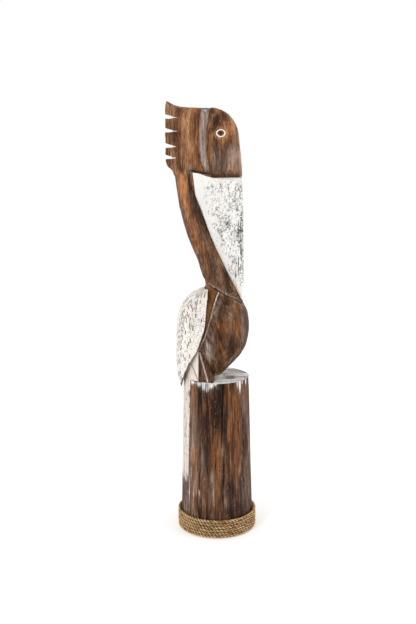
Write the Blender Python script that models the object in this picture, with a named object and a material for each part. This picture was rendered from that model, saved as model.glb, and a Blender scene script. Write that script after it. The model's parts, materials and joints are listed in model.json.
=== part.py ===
"""Carved wooden pelican on a round log post with a rope-wrapped foot.

The bird looks along +X with its bill on its breast. Z is up. The origin is the centre of the post's
underside. Every piece is a separate solid: carved pieces meet with a thin glue gap and share dowels.
"""

from math import asin, cos, pi, radians, sin, sqrt

import bmesh
import bpy
import numpy as np
from mathutils import Matrix, Vector

# Overall sizes
POST_HEIGHT = 0.223
POST_FOOT_RADIUS = 0.052
POST_TOP_RADIUS = 0.0463
POST_LEAN_BACK = 0.0015
BIRD_HEIGHT = 0.377

# Joints between pieces
JOINT_GAP = 0.0003
DOWEL_FIT = 0.0002

# The bird's widths
BODY_HALF_WIDTH = 0.0425
NECK_HALF_WIDTH = 0.025
CHEEK_HALF_WIDTH = 0.026
CREST_HALF_THICKNESS = 0.016
CREST_EDGE = 0.003
BILL_HALF_WIDTH = 0.0185
BILL_REBATE = 0.002
WING_HALF_WIDTH = 0.046
WING_BOARD = 0.012

# Crest notches
NOTCH_HEIGHTS = (357.0, 339.0, 319.0, 304.0)
NOTCH_DEPTH = 0.0165
NOTCH_MOUTH = 0.0068
NOTCH_DROP = 0.0026
NOTCH_RISE = 0.0008
NOTCH_OVERSHOOT = 0.004
NOTCH_CURVE_START = 0.05
NOTCH_CURVE_SPAN = 0.5
NOTCH_TAPER = 1.4
NOTCH_TIP = 0.0001

# Tail
TAIL_STRIP_HALF_WIDTH = 0.028
TAIL_STRIP_TOP_EDGE = 0.0012
TAIL_STRIP_END_EDGE = 0.0017
TAIL_STRIP_END_SHARE = 0.278
TAIL_TUCK = 0.016
TAIL_TUCK_EXTRA_DEPTH = 0.005
TAIL_TUCK_INSET = 0.002
TRENCH_OVERSHOOT = 0.02
TAIL_BLOCK_FRONT = 0.026
TAIL_BLOCK_HEIGHT = 0.050
TAIL_BLOCK_SETBACK = 0.0005
WING_PARTING_HALF_WIDTH = 0.009
WING_PARTING_TOP = 0.026
WING_PARTING_WIDE_BELOW = 0.016
WING_PARTING_REACH = 0.05
WING_PARTING_SPAN = (-0.08, -0.02)

# Legs
LEG_RIM_MARGIN = 0.0015
LEG_FRONT_SETBACK = 0.0035
LEG_FRONT_SHARE = 0.75
LEG_INNER_SHARE = 0.45
LEG_INNER_TOP = 40.0
LEG_INNER_STEP = 0.010
LEG_DOWEL_SETBACK = 0.0145
LEG_DOWEL_SHARE = 0.78

# Dowels, brads and tacks: diameter and length
BODY_DOWEL = (0.012, 0.060)
NECK_DOWEL = (0.010, 0.034)
BILL_DOWEL = (0.007, 0.026)
LEG_DOWEL = (0.005, 0.022)
WING_DOWEL = (0.006, 0.018)
WING_DOWEL_COVER = 0.0035
DOWEL_BEVEL = 0.0008
BRAD_SHANK_RADIUS = 0.0009
BRAD_HEAD_RADIUS = 0.0016
BRAD_LENGTH = 0.028
BRAD_HEAD_THICKNESS = 0.0012
BRAD_POINT = 0.002
BRAD_SINK = 0.0008
BRAD_HOLE_RUNOUT = 0.003
BRAD_HEIGHT_SHARES = (0.852, 0.471)
TACK_SHANK_RADIUS = 0.0008
TACK_HEAD_RADIUS = 0.0021
TACK_LENGTH = 0.012
TACK_HEAD_THICKNESS = 0.0010
TACK_POINT = 0.002
TACK_ROPE_GAP = 0.0005

# Rope wrap
ROPE_DIAMETER = 0.0041
ROPE_TURN_GAP = 0.00035
ROPE_TURNS = 6
ROPE_CLEARANCE = 0.0004
ROPE_FLOOR_GAP = 0.0005
ROPE_STEP_SHARE = 0.15
ROPE_START_DEGREES = 170.0

# Facets
POST_SIDES = 48
DOWEL_SIDES = 16
METAL_SIDES = 12
ROPE_SIDES = 8
ROPE_STEPS_PER_TURN = 36
SECTION_STEPS = 11

# The bird is drawn in units of which its height holds 377, measured up from the post's top face.
UNIT = BIRD_HEIGHT / 377.0
PERCH = POST_HEIGHT + JOINT_GAP

# Stations of each carved form: back x, back z, front x, front z, then its width as a share of the
# half width named above. A last number, where there is one, is the share at the front edge.
BODY_STATIONS = [
    (-22.0, 0.0, 4.5, 0.0, 0.40),
    (-30.0, 9.5, 14.5, 11.0, 0.66),
    (-38.0, 22.0, 24.5, 21.5, 0.82),
    (-44.5, 36.0, 34.5, 33.5, 0.93),
    (-48.5, 51.0, 41.0, 46.0, 0.985),
    (-49.5, 68.0, 44.2, 63.0, 1.0),
    (-47.5, 87.0, 44.4, 78.0, 0.97),
    (-40.0, 104.0, 42.8, 88.5, 0.88),
    (-28.0, 114.0, 40.8, 94.8, 0.76),
    (-18.0, 124.5, 39.0, 98.6, 0.68),
    (-17.0, 133.5, 36.9, 103.0, 0.62),
]
WING_STATIONS = [
    (-50.0, -24.0, 30.0, -24.0, 0.64),
    (-54.3, -9.0, 34.0, -9.0, 0.73),
    (-57.0, 4.0, 38.0, 4.0, 0.81),
    (-58.4, 21.0, 42.0, 21.0, 0.89),
    (-58.9, 43.0, 46.0, 43.0, 0.96),
    (-58.0, 65.0, 48.0, 65.0, 1.0),
    (-55.8, 86.0, 47.0, 86.0, 0.98),
    (-51.5, 99.0, 45.0, 98.0, 0.935),
    (-44.5, 110.0, 42.0, 108.0, 0.86),
    (-36.0, 117.8, 38.0, 114.0, 0.78),
    (-26.0, 122.6, 34.0, 118.5, 0.70),
    (-16.0, 125.6, 30.0, 122.0, 0.64),
]
NECK_STATIONS = [
    (-17.0, 134.0, 36.7, 103.5, 1.0, 0.50),
    (-18.6, 137.5, 32.9, 110.5, 0.98, 0.44),
    (-21.0, 141.5, 18.9, 138.0, 0.95, 0.38),
    (-27.0, 161.0, 7.2, 161.5, 0.90, 0.40),
    (-34.5, 179.0, -2.0, 181.5, 0.86, 0.43),
    (-41.4, 196.0, -8.7, 197.0, 0.83, 0.46),
    (-47.4, 216.0, -15.9, 216.0, 0.80, 0.50),
    (-52.8, 238.0, -24.1, 239.0, 0.77, 0.53),
    (-56.0, 259.5, -32.2, 259.5, 0.73, 0.56),
    (-58.4, 276.0, -36.0, 281.0, 0.60, 0.55),
    (-60.0, 290.0, -36.0, 293.0, 0.44, 0.42),
    (-60.0, 305.0, -38.0, 305.0, 0.32, 0.30),
]
BILL_STATIONS = [
    (30.8, 107.9, 33.0, 108.3, 0.18),
    (29.9, 112.5, 34.6, 113.0, 0.25),
    (26.5, 119.5, 35.6, 119.5, 0.31),
    (18.7, 136.0, 36.7, 136.0, 0.43),
    (6.1, 163.8, 36.6, 164.0, 0.57),
    (-6.3, 191.0, 36.0, 191.0, 0.69),
    (-15.9, 216.0, 35.5, 216.0, 0.79),
    (-24.1, 239.0, 34.9, 239.0, 0.87),
    (-32.2, 259.5, 34.3, 259.5, 0.94),
    (-34.7, 272.0, 33.9, 268.5, 0.98),
    (-35.0, 283.5, 33.4, 276.2, 1.0),
]
CHEEK_STATIONS = [
    (-17.5, 276.3, 33.5, 276.3, 0.88),
    (-18.0, 284.0, 33.3, 284.0, 0.96),
    (-19.0, 293.0, 32.8, 293.0, 1.0),
    (-20.0, 306.0, 31.6, 306.0, 1.0),
    (-20.0, 319.5, 30.0, 319.5, 0.99),
    (-20.0, 335.0, 28.2, 335.0, 0.94),
    (-19.0, 347.0, 24.3, 347.0, 0.85),
    (-18.0, 355.5, 18.6, 355.5, 0.74),
    (-16.0, 362.5, 11.5, 362.5, 0.59),
    (-13.5, 366.6, 3.0, 366.6, 0.43),
    (-10.0, 368.3, -2.5, 368.3, 0.32),
]
CREST_COLUMNS = [
    (-70.6, 300.0, -70.6, 371.0, 0.50),
    (-69.9, 295.6, -69.4, 375.6, 0.58),
    (-67.3, 290.0, -67.3, 376.7, 0.65),
    (-62.2, 285.5, -60.5, 372.8, 0.74),
    (-58.0, 276.0, -53.5, 370.6, 0.81),
    (-50.0, 272.0, -46.6, 369.4, 0.87),
    (-36.0, 281.5, -35.0, 368.9, 0.95),
    (-25.4, 279.3, -25.0, 368.5, 0.95),
    (-15.9, 276.8, -15.0, 368.3, 0.78),
    (0.0, 276.4, -1.0, 366.8, 0.56),
]
WING_EDGE = [
    (-10.0, 142.0),
    (-12.0, 130.0),
    (-14.1, 113.4),
    (-15.6, 98.9),
    (-16.8, 84.0),
    (-19.0, 70.4),
    (-23.6, 54.1),
    (-29.7, 38.2),
    (-38.7, 21.9),
    (-45.6, 3.7),
    (-50.0, -13.5),
    (-51.0, -16.4),
    (-53.8, -17.0),
    (-80.0, -8.0),
]
WING_CUT_CORNER = (-80.0, 142.0)
LEG_TOPS = [(-25.2, -38.6, 43.0), (-21.4, -39.6, 38.5), (-15.8, -38.0, 29.0), (-6.0, -33.0, 8.0)]
LEG_FOOT_DEGREES = (33.5, 15.0, 6.0)

# Dowel places on the bird, in units: along X and up
BODY_DOWEL_X = -7.0
NECK_DOWEL_PLACES = {"back": (-6.0, 127.5), "front": (13.0, 116.7)}
NECK_DOWEL_LEAN = (-0.30, 0.0, 1.0)
BILL_DOWEL_PLACES = {"upper": (6.0, 279.0, (0.0, 0.0, 1.0)), "lower": (-7.0, 186.0, (0.92, 0.0, 0.39))}
WING_DOWEL_PLACES = {"upper": (-36.0, 96.0), "lower": (-38.0, 60.0)}


def clear_scene():
    for obj in list(bpy.data.objects):
        bpy.data.objects.remove(obj, do_unlink=True)


# Materials


def material(name, colour, roughness, metallic=0.0):
    made = bpy.data.materials.get(name) or bpy.data.materials.new(name)
    made.use_nodes = True
    shader = made.node_tree.nodes["Principled BSDF"]
    shader.inputs["Base Color"].default_value = (*colour, 1.0)
    shader.inputs["Roughness"].default_value = roughness
    shader.inputs["Metallic"].default_value = metallic
    return made


def stained_wood():
    return material("stained_wood", (0.16, 0.065, 0.025), 0.45)


def weathered_log():
    return material("weathered_log", (0.10, 0.055, 0.035), 0.6)


def whitewashed_wood():
    return material("whitewashed_wood", (0.80, 0.78, 0.74), 0.7)


def bare_dowel():
    return material("bare_dowel", (0.55, 0.38, 0.22), 0.6)


def straw_rope():
    return material("straw_rope", (0.47, 0.34, 0.19), 0.85)


def plain_steel():
    return material("plain_steel", (0.45, 0.44, 0.42), 0.4, 1.0)


# Building solids


def new_object(name, bm, finish, smooth_below=35.0):
    bmesh.ops.recalc_face_normals(bm, faces=bm.faces)
    mesh = bpy.data.meshes.new(name)
    bm.to_mesh(mesh)
    bm.free()
    mesh.shade_smooth()
    mesh.set_sharp_from_angle(angle=radians(smooth_below))
    obj = bpy.data.objects.new(name, mesh)
    bpy.context.scene.collection.objects.link(obj)
    if finish:
        obj.data.materials.append(finish)
    return obj


def skin_loops(bm, loops):
    """Joins closed loops of equal length with side faces, and caps the first and the last."""
    rings = [[bm.verts.new(point) for point in loop] for loop in loops]
    count = len(rings[0])
    for lower, upper in zip(rings, rings[1:]):
        for i in range(count):
            j = (i + 1) % count
            bm.faces.new((lower[i], lower[j], upper[j], upper[i]))
    bm.faces.new(list(reversed(rings[0])))
    bm.faces.new(rings[-1])


def solid(name, loops, finish):
    bm = bmesh.new()
    skin_loops(bm, loops)
    return new_object(name, bm, finish)


def helper(obj):
    """A cutter: it shapes its neighbours and isn't a piece."""
    obj.hide_render = True
    obj.display_type = "WIRE"
    return obj


def boolean(piece, other, operation):
    modifier = piece.modifiers.new(operation.lower() + "_" + other.name, "BOOLEAN")
    modifier.operation = operation
    modifier.solver = "EXACT"
    modifier.object = helper(other)


def cut(piece, *cutters):
    for cutter in cutters:
        boolean(piece, cutter, "DIFFERENCE")


# Carved forms


def smooth_rows(stations, steps):
    """Rows on a smooth curve through the stations, with this many steps from each to the next."""
    table = np.array(stations, dtype=float)
    ends = (2 * table[:1] - table[1:2], table, 2 * table[-1:] - table[-2:-1])
    padded = np.vstack(ends)
    rows = []
    for i in range(1, len(padded) - 2):
        before, start, end, after = padded[i - 1 : i + 3]
        for u in np.arange(steps) / steps:
            bend = 2 * before - 5 * start + 4 * end - after
            turn = 3 * start - before - 3 * end + after
            rows.append(start + 0.5 * u * (end - before + u * bend + u * u * turn))
    rows.append(table[-1])
    return rows


def oval(t, power):
    """The half width of a rounded section at t, from 0 at its back to 1 at its front."""
    return max(1.0 - abs(2.0 * t - 1.0) ** power, 0.0) ** (1.0 / power)


def section_steps():
    return [(1.0 - cos(pi * i / SECTION_STEPS)) / 2.0 for i in range(SECTION_STEPS + 1)]


def section(row, half_width, width_at, edge=0.0006, grow=0.0):
    """One closed loop between a row's back and front points. width_at gives shares of half_width."""
    back = Vector((row[0] * UNIT, 0.0, row[1] * UNIT + PERCH))
    front = Vector((row[2] * UNIT, 0.0, row[3] * UNIT + PERCH))
    along = (front - back).normalized() * grow
    back -= along
    front += along
    side = []
    for t in section_steps():
        width = max(width_at(t, row) * half_width, edge) + grow
        side.append((back.lerp(front, t), width))
    right = [point - Vector((0.0, width, 0.0)) for point, width in side]
    left = [point + Vector((0.0, width, 0.0)) for point, width in reversed(side)]
    return right + left


def longer_ends(rows, grow):
    """The same rows with the first and the last moved out by grow, down and up."""
    low, high = rows[0].copy(), rows[-1].copy()
    low[[1, 3]] -= grow / UNIT
    high[[1, 3]] += grow / UNIT
    return [low, *rows[1:-1], high]


def body_form(name, finish, grow=0.0):
    """The egg of breast and belly, flat where it stands on the post and where the neck is glued on."""

    def width_at(t, row):
        return row[4] * oval(t, 2.2)

    rows = longer_ends(smooth_rows(BODY_STATIONS, 2), grow)
    loops = [section(row, BODY_HALF_WIDTH, width_at, grow=grow) for row in rows]
    return solid(name, loops, finish)


def neck_form(name, finish, grow=0.0):
    """The neck: a rounded back, a ridge past its middle, and a facet that runs in to the bill."""
    ridge = 0.57

    def width_at(t, row):
        if t < ridge:
            return row[4] * max(1.0 - ((ridge - t) / ridge) ** 2.3, 0.0) ** (1.0 / 2.3)
        return row[4] + (row[5] - row[4]) * (t - ridge) / (1.0 - ridge)

    rows = longer_ends(smooth_rows(NECK_STATIONS, 2), grow)
    loops = [section(row, NECK_HALF_WIDTH, width_at, grow=grow) for row in rows]
    return solid(name, loops, finish)


def cheek_form():
    """The round cheeks that stand proud of the crest board."""

    def width_at(t, row):
        return row[4] * oval(t, 2.3)

    loops = [section(row, CHEEK_HALF_WIDTH, width_at) for row in smooth_rows(CHEEK_STATIONS, 2)]
    return solid("cheeks", loops, stained_wood())


def crest_form():
    """The flat crest board, thinner towards its back edge, in columns from that edge forward."""

    def width_at(t, row):
        return row[4] * oval(t, 7.0)

    loops = [
        section(row, CREST_HALF_THICKNESS, width_at, edge=CREST_EDGE)
        for row in smooth_rows(CREST_COLUMNS, 2)
    ]
    return solid("crest", loops, stained_wood())


def bill_form(name, finish, grow=0.0):
    """The bill: a long wedge with swelling sides, blunt in front, let into the neck along its back."""

    def width_at(t, row):
        if t < 0.4:
            return row[4] * (0.72 + 0.28 * sin(pi * t / 0.8))
        if t < 0.6:
            return row[4]
        return row[4] * (1.0 - 0.5 * ((t - 0.6) / 0.4) ** 2.2)

    rebate = BILL_REBATE / UNIT
    stations = [(row[0] - rebate, *row[1:]) for row in BILL_STATIONS]
    rows = longer_ends(smooth_rows(stations, 2), grow)
    loops = [section(row, BILL_HALF_WIDTH, width_at, grow=grow) for row in rows]
    return solid(name, loops, finish)


def crest_notch(number, height):
    """A crescent cut in from the crest's back edge, dipping as it narrows and running out to a point."""
    back = CREST_COLUMNS[0][0] * UNIT
    centre = PERCH + height * UNIT
    upper, lower = [], []
    for i in range(9):
        u = i / 8.0
        x = back - NOTCH_OVERSHOOT + (NOTCH_DEPTH + NOTCH_OVERSHOOT) * u
        middle = centre + NOTCH_RISE - NOTCH_DROP * sin(pi * (NOTCH_CURVE_START + NOTCH_CURVE_SPAN * u))
        half = NOTCH_MOUTH / 2.0 * (1.0 - u) ** NOTCH_TAPER + NOTCH_TIP
        upper.append((x, middle + half))
        lower.append((x, middle - half))
    outline = upper + list(reversed(lower))
    reach = CREST_HALF_THICKNESS * 1.5
    loops = [[Vector((x, side * reach, z)) for x, z in outline] for side in (-1.0, 1.0)]
    return solid(f"notch_{number}", loops, None)


# Post and tail


def post_radius(height):
    share = min(max(height / POST_HEIGHT, 0.0), 1.0)
    return POST_FOOT_RADIUS + (POST_TOP_RADIUS - POST_FOOT_RADIUS) * share


def post_centre(height):
    """Where the post's middle lies along X at this height: the log leans back a little."""
    return -POST_LEAN_BACK * min(max(height / POST_HEIGHT, 0.0), 1.0)


def post_form(name, finish, grow=0.0):
    loops = []
    for height in (0.0, 0.5 * POST_HEIGHT, POST_HEIGHT):
        radius = post_radius(height) + grow
        x = post_centre(height)
        z = height + (grow if height else 0.0)
        angles = [2.0 * pi * i / POST_SIDES for i in range(POST_SIDES)]
        loops.append([Vector((x + radius * cos(a), radius * sin(a), z)) for a in angles])
    return solid(name, loops, finish)


def arc_section(z, radius, half_width, inner):
    """A loop at height z: an arc of the post's round back, side walls, and a flat inner face at x = -inner."""
    reach = asin(half_width / radius)
    steps = 12
    angles = [pi - reach + 2.0 * reach * i / steps for i in range(steps + 1)]
    arc = [Vector((post_centre(z) + radius * cos(a), radius * sin(a), z)) for a in angles]
    return arc + [Vector((-inner, -half_width, z)), Vector((-inner, half_width, z))]


def post_back(z):
    """How far behind the origin the post's back surface is at height z."""
    return post_radius(z) - post_centre(z)


def strip_end():
    return TAIL_STRIP_END_SHARE * POST_HEIGHT


def strip_edge_back(z):
    """How far behind the origin the post's round lies at the strip's side edges, at height z."""
    return sqrt(post_radius(z) ** 2 - TAIL_STRIP_HALF_WIDTH**2) - post_centre(z)


def strip_inner(z):
    """How far back the strip's inner face lies at height z: its housing leans in towards the top."""
    end = strip_edge_back(strip_end()) - TAIL_STRIP_END_EDGE
    top = strip_edge_back(POST_HEIGHT) - TAIL_STRIP_TOP_EDGE
    share = (z - strip_end()) / (POST_HEIGHT - strip_end())
    return end + (top - end) * min(share, 1.0)


def tail_strip(name, finish, grow=0.0):
    """The long part of the tail, flush with the post's back, running in under the block at its top."""
    loops = []
    for z in (strip_end() - grow, 0.5 * (strip_end() + POST_HEIGHT), POST_HEIGHT):
        radius = post_radius(z) + grow
        loops.append(arc_section(z, radius, TAIL_STRIP_HALF_WIDTH + grow, strip_inner(z) - grow))
    radius = POST_TOP_RADIUS - 0.25 * TAIL_TUCK
    inner = strip_inner(POST_HEIGHT) - TAIL_TUCK_EXTRA_DEPTH
    half_width = TAIL_STRIP_HALF_WIDTH - TAIL_TUCK_INSET
    loops.append(arc_section(POST_HEIGHT + TAIL_TUCK, radius, half_width, inner))
    return solid(name, loops, finish)


def tail_block(name, finish, grow=0.0):
    """The tail's root: a segment of the post's round that stands on its top face, under the wings."""
    radius = POST_TOP_RADIUS - TAIL_BLOCK_SETBACK + grow
    half_width = sqrt(radius**2 - (TAIL_BLOCK_FRONT + post_centre(PERCH) + JOINT_GAP) ** 2)
    loops = [
        arc_section(z, radius, half_width, TAIL_BLOCK_FRONT - grow)
        for z in (PERCH - grow, PERCH + 0.5 * TAIL_BLOCK_HEIGHT, PERCH + TAIL_BLOCK_HEIGHT + grow)
    ]
    return solid(name, loops, finish)


def tail_housing():
    """The shallow trench in the back of the post that takes the tail's strip."""
    low = strip_end() - JOINT_GAP
    high = POST_HEIGHT + TRENCH_OVERSHOOT
    half = TAIL_STRIP_HALF_WIDTH + JOINT_GAP
    outside = -(POST_FOOT_RADIUS + TRENCH_OVERSHOOT)
    loops = []
    for z, lean_z in ((low, low), (POST_HEIGHT, POST_HEIGHT), (high, POST_HEIGHT)):
        inner = -(strip_inner(lean_z) - JOINT_GAP)
        corners = ((outside, -half), (inner, -half), (inner, half), (outside, half))
        loops.append([Vector((x, y, z)) for x, y in corners])
    return solid("tail_housing", loops, None)


# Wings and legs. side is -1 for the bird's right (-Y) and 1 for its left.


def wing_section(row, side):
    """A C-shaped loop: the wing's outer face from its front round to the middle of the back, then its inside."""
    back = row[0] * UNIT
    front = row[2] * UNIT
    z = row[1] * UNIT + PERCH
    half = row[4] * WING_HALF_WIDTH
    middle = JOINT_GAP / 2.0
    steps = [0.66 * t for t in section_steps()]
    outer = [(back + (front - back) * t, max(half * oval(t, 2.2), middle)) for t in reversed(steps)]
    inner_back = back + WING_BOARD
    inner_half = half - WING_BOARD
    inner = [
        (inner_back + (front - inner_back) * t, max(inner_half * oval(t, 2.2), middle)) for t in steps
    ]
    return [Vector((x, side * y, z)) for x, y in outer + inner]


def smooth_outline(points, steps):
    return [(row[0], row[1]) for row in smooth_rows(points, steps)]


def wing_outline():
    """The wing's side view, as a cutter that keeps what is behind its front edge."""
    edge = smooth_outline(WING_EDGE[:-1], 3) + [WING_EDGE[-1], WING_CUT_CORNER]
    reach = 2.0 * WING_HALF_WIDTH
    loops = []
    for y in (-reach, reach):
        loops.append([Vector((x * UNIT, y, z * UNIT + PERCH)) for x, z in edge])
    return solid("wing_outline", loops, None)


def wing_parting():
    """The V between the wing tips, seen from behind."""
    corners = [
        (0.0, WING_PARTING_TOP),
        (WING_PARTING_HALF_WIDTH, -WING_PARTING_WIDE_BELOW),
        (WING_PARTING_HALF_WIDTH, -WING_PARTING_REACH),
        (-WING_PARTING_HALF_WIDTH, -WING_PARTING_REACH),
        (-WING_PARTING_HALF_WIDTH, -WING_PARTING_WIDE_BELOW),
    ]
    loops = [[Vector((x, y, PERCH + z)) for y, z in corners] for x in WING_PARTING_SPAN]
    return solid("wing_parting", loops, None)


def wing(name, side):
    loops = [wing_section(row, side) for row in smooth_rows(WING_STATIONS, 2)]
    return solid(name, loops, whitewashed_wood())


def leg(name, side):
    """A faceted wedge from the belly's side down to the post's rim."""
    rim = POST_TOP_RADIUS - LEG_RIM_MARGIN
    back = -(TAIL_BLOCK_FRONT - JOINT_GAP)
    inner = LEG_INNER_SHARE * rim
    front = -LEG_FRONT_SETBACK
    points = []
    for degrees in LEG_FOOT_DEGREES:
        x = post_centre(PERCH) - rim * sin(radians(degrees))
        points.append((x, rim * cos(radians(degrees)), 0.0))
    points += [(front, LEG_FRONT_SHARE * rim, 0.0), (front, inner, 0.0), (back, inner, 0.0)]
    points += [(x * UNIT, -y * UNIT, z * UNIT) for x, y, z in LEG_TOPS]
    points += [(back, inner, LEG_INNER_TOP * UNIT), (-LEG_INNER_STEP, inner, LEG_INNER_STEP)]
    bm = bmesh.new()
    for x, y, z in points:
        bm.verts.new((max(x, back), side * y, PERCH + z))
    bmesh.ops.convex_hull(bm, input=bm.verts)
    return new_object(name, bm, stained_wood(), 20.0)


# Turned pieces: dowels, brads and tacks


def turned_loops(profile, start, direction, sides):
    """Loops of a round piece whose axis leaves start along direction. profile holds radius and distance."""
    turn = Vector((0.0, 0.0, 1.0)).rotation_difference(Vector(direction).normalized())
    place = Matrix.Translation(Vector(start)) @ turn.to_matrix().to_4x4()
    loops = []
    for radius, distance in profile:
        angles = [2.0 * pi * i / sides for i in range(sides)]
        loops.append([place @ Vector((radius * cos(a), radius * sin(a), distance)) for a in angles])
    return loops


def dowel(name, centre, direction, size):
    diameter, length = size
    radius = diameter / 2.0
    bevel = min(DOWEL_BEVEL, 0.2 * radius)
    start = Vector(centre) - Vector(direction).normalized() * (length / 2.0)
    profile = [(radius - bevel, 0.0), (radius, bevel), (radius, length - bevel), (radius - bevel, length)]
    return solid(name, turned_loops(profile, start, direction, DOWEL_SIDES), bare_dowel())


def dowel_hole(centre, direction, size):
    diameter, length = size
    radius = diameter / 2.0 + DOWEL_FIT
    half = length / 2.0 + JOINT_GAP
    start = Vector(centre) - Vector(direction).normalized() * half
    return turned_loops([(radius, 0.0), (radius, 2.0 * half)], start, direction, DOWEL_SIDES)


def holes(name, list_of_loops):
    bm = bmesh.new()
    for loops in list_of_loops:
        skin_loops(bm, loops)
    return helper(new_object(name, bm, None))


def brad_start(height):
    return (BRAD_SINK - post_back(height), 0.0, height)


def brad(name, height):
    profile = [
        (BRAD_HEAD_RADIUS, 0.0),
        (BRAD_HEAD_RADIUS, 0.5 * BRAD_HEAD_THICKNESS),
        (BRAD_SHANK_RADIUS, BRAD_HEAD_THICKNESS),
        (BRAD_SHANK_RADIUS, BRAD_LENGTH - BRAD_POINT),
        (0.2 * BRAD_SHANK_RADIUS, BRAD_LENGTH),
    ]
    loops = turned_loops(profile, brad_start(height), (1.0, 0.0, 0.0), METAL_SIDES)
    return solid(name, loops, plain_steel())


def brad_hole(height):
    wide = BRAD_HEAD_RADIUS + DOWEL_FIT
    narrow = BRAD_SHANK_RADIUS + DOWEL_FIT
    head = BRAD_HEAD_THICKNESS + JOINT_GAP
    outside = BRAD_HOLE_RUNOUT
    start = Vector(brad_start(height)) - Vector((outside, 0.0, 0.0))
    profile = [
        (wide, 0.0),
        (wide, outside + head),
        (narrow, outside + head),
        (narrow, outside + BRAD_LENGTH + JOINT_GAP),
    ]
    return turned_loops(profile, start, (1.0, 0.0, 0.0), METAL_SIDES)


# Rope wrap and its tacks


def rope_radius():
    return POST_FOOT_RADIUS + ROPE_CLEARANCE + ROPE_DIAMETER / 2.0


def rope_level(turn):
    """The height of the rope's centre after this many turns: level, then a step up before the next."""
    whole = int(turn)
    share = max((turn - whole - (1.0 - ROPE_STEP_SHARE)) / ROPE_STEP_SHARE, 0.0)
    step = share * share * (3.0 - 2.0 * share)
    return ROPE_FLOOR_GAP + ROPE_DIAMETER / 2.0 + (ROPE_DIAMETER + ROPE_TURN_GAP) * (whole + step)


def rope_wrap():
    last = ROPE_TURNS - ROPE_STEP_SHARE
    count = int(last * ROPE_STEPS_PER_TURN)
    loops = []
    for i in range(count + 1):
        turn = last * i / count
        angle = radians(ROPE_START_DEGREES) + 2.0 * pi * turn
        outward = Vector((cos(angle), sin(angle), 0.0))
        centre = outward * rope_radius() + Vector((0.0, 0.0, rope_level(turn)))
        loop = []
        for k in range(ROPE_SIDES):
            a = 2.0 * pi * k / ROPE_SIDES
            round_it = outward * cos(a) + Vector((0.0, 0.0, sin(a)))
            loop.append(centre + round_it * (ROPE_DIAMETER / 2.0))
        loops.append(loop)
    return solid("rope_wrap", loops, straw_rope())


def tack_place(turn, past_end):
    """Where a tack's head centre lies and which way its shank runs, just past the rope's end at this turn."""
    beside = TACK_SHANK_RADIUS + TACK_ROPE_GAP
    angle = radians(ROPE_START_DEGREES) + 2.0 * pi * turn + past_end * beside / rope_radius()
    outward = Vector((cos(angle), sin(angle), 0.0))
    radius = rope_radius() + ROPE_DIAMETER / 2.0 + JOINT_GAP + TACK_HEAD_THICKNESS
    return outward * radius + Vector((0.0, 0.0, rope_level(turn))), -outward


def tack_places():
    last = ROPE_TURNS - ROPE_STEP_SHARE
    return {"rope_tack_start": tack_place(0.0, -1.0), "rope_tack_end": tack_place(last, 1.0)}


def tack(name, place):
    thick = TACK_HEAD_THICKNESS
    profile = [
        (0.6 * TACK_HEAD_RADIUS, 0.0),
        (TACK_HEAD_RADIUS, 0.7 * thick),
        (TACK_HEAD_RADIUS, thick),
        (TACK_SHANK_RADIUS, thick),
        (TACK_SHANK_RADIUS, TACK_LENGTH - TACK_POINT),
        (0.2 * TACK_SHANK_RADIUS, TACK_LENGTH),
    ]
    return solid(name, turned_loops(profile, *place, METAL_SIDES), plain_steel())


def tack_hole(place):
    start, direction = place
    radius = TACK_SHANK_RADIUS + DOWEL_FIT
    clear = TACK_HEAD_THICKNESS + JOINT_GAP
    profile = [(radius, clear), (radius, TACK_LENGTH + JOINT_GAP)]
    return turned_loops(profile, start, direction, METAL_SIDES)


# Where the dowels go: centre, direction and size


def on_bird(x, y, z):
    return (x * UNIT, y * UNIT, z * UNIT + PERCH)


def body_dowels():
    return {"body_dowel": (on_bird(BODY_DOWEL_X, 0.0, 0.0), (0.0, 0.0, 1.0), BODY_DOWEL)}


def neck_dowels():
    return {
        f"neck_dowel_{end}": (on_bird(x, 0.0, z), NECK_DOWEL_LEAN, NECK_DOWEL)
        for end, (x, z) in NECK_DOWEL_PLACES.items()
    }


def bill_dowels():
    return {
        f"bill_dowel_{end}": (on_bird(x, 0.0, z), direction, BILL_DOWEL)
        for end, (x, z, direction) in BILL_DOWEL_PLACES.items()
    }


def wing_half_width_at(x, z):
    """The wing's outer face at a point of its side view, in metres from the middle plane."""
    rows = np.array(WING_STATIONS)
    back = np.interp(z, rows[:, 1], rows[:, 0])
    front = np.interp(z, rows[:, 1], rows[:, 2])
    share = np.interp(z, rows[:, 1], rows[:, 4])
    return share * WING_HALF_WIDTH * oval((x - back) / (front - back), 2.2)


def wing_dowels(name, side):
    found = {}
    for end, (x, z) in WING_DOWEL_PLACES.items():
        outer = wing_half_width_at(x, z) - WING_DOWEL_COVER
        centre = (x * UNIT, side * (outer - WING_DOWEL[1] / 2.0), z * UNIT + PERCH)
        found[f"{name}_dowel_{end}"] = (centre, (0.0, 1.0, 0.0), WING_DOWEL)
    return found


def leg_dowels(name, side):
    rim = POST_TOP_RADIUS - LEG_RIM_MARGIN
    centre = (-LEG_DOWEL_SETBACK, side * LEG_DOWEL_SHARE * rim, PERCH)
    return {f"{name}_dowel": (centre, (0.0, 0.0, 1.0), LEG_DOWEL)}


# The assembly


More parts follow.
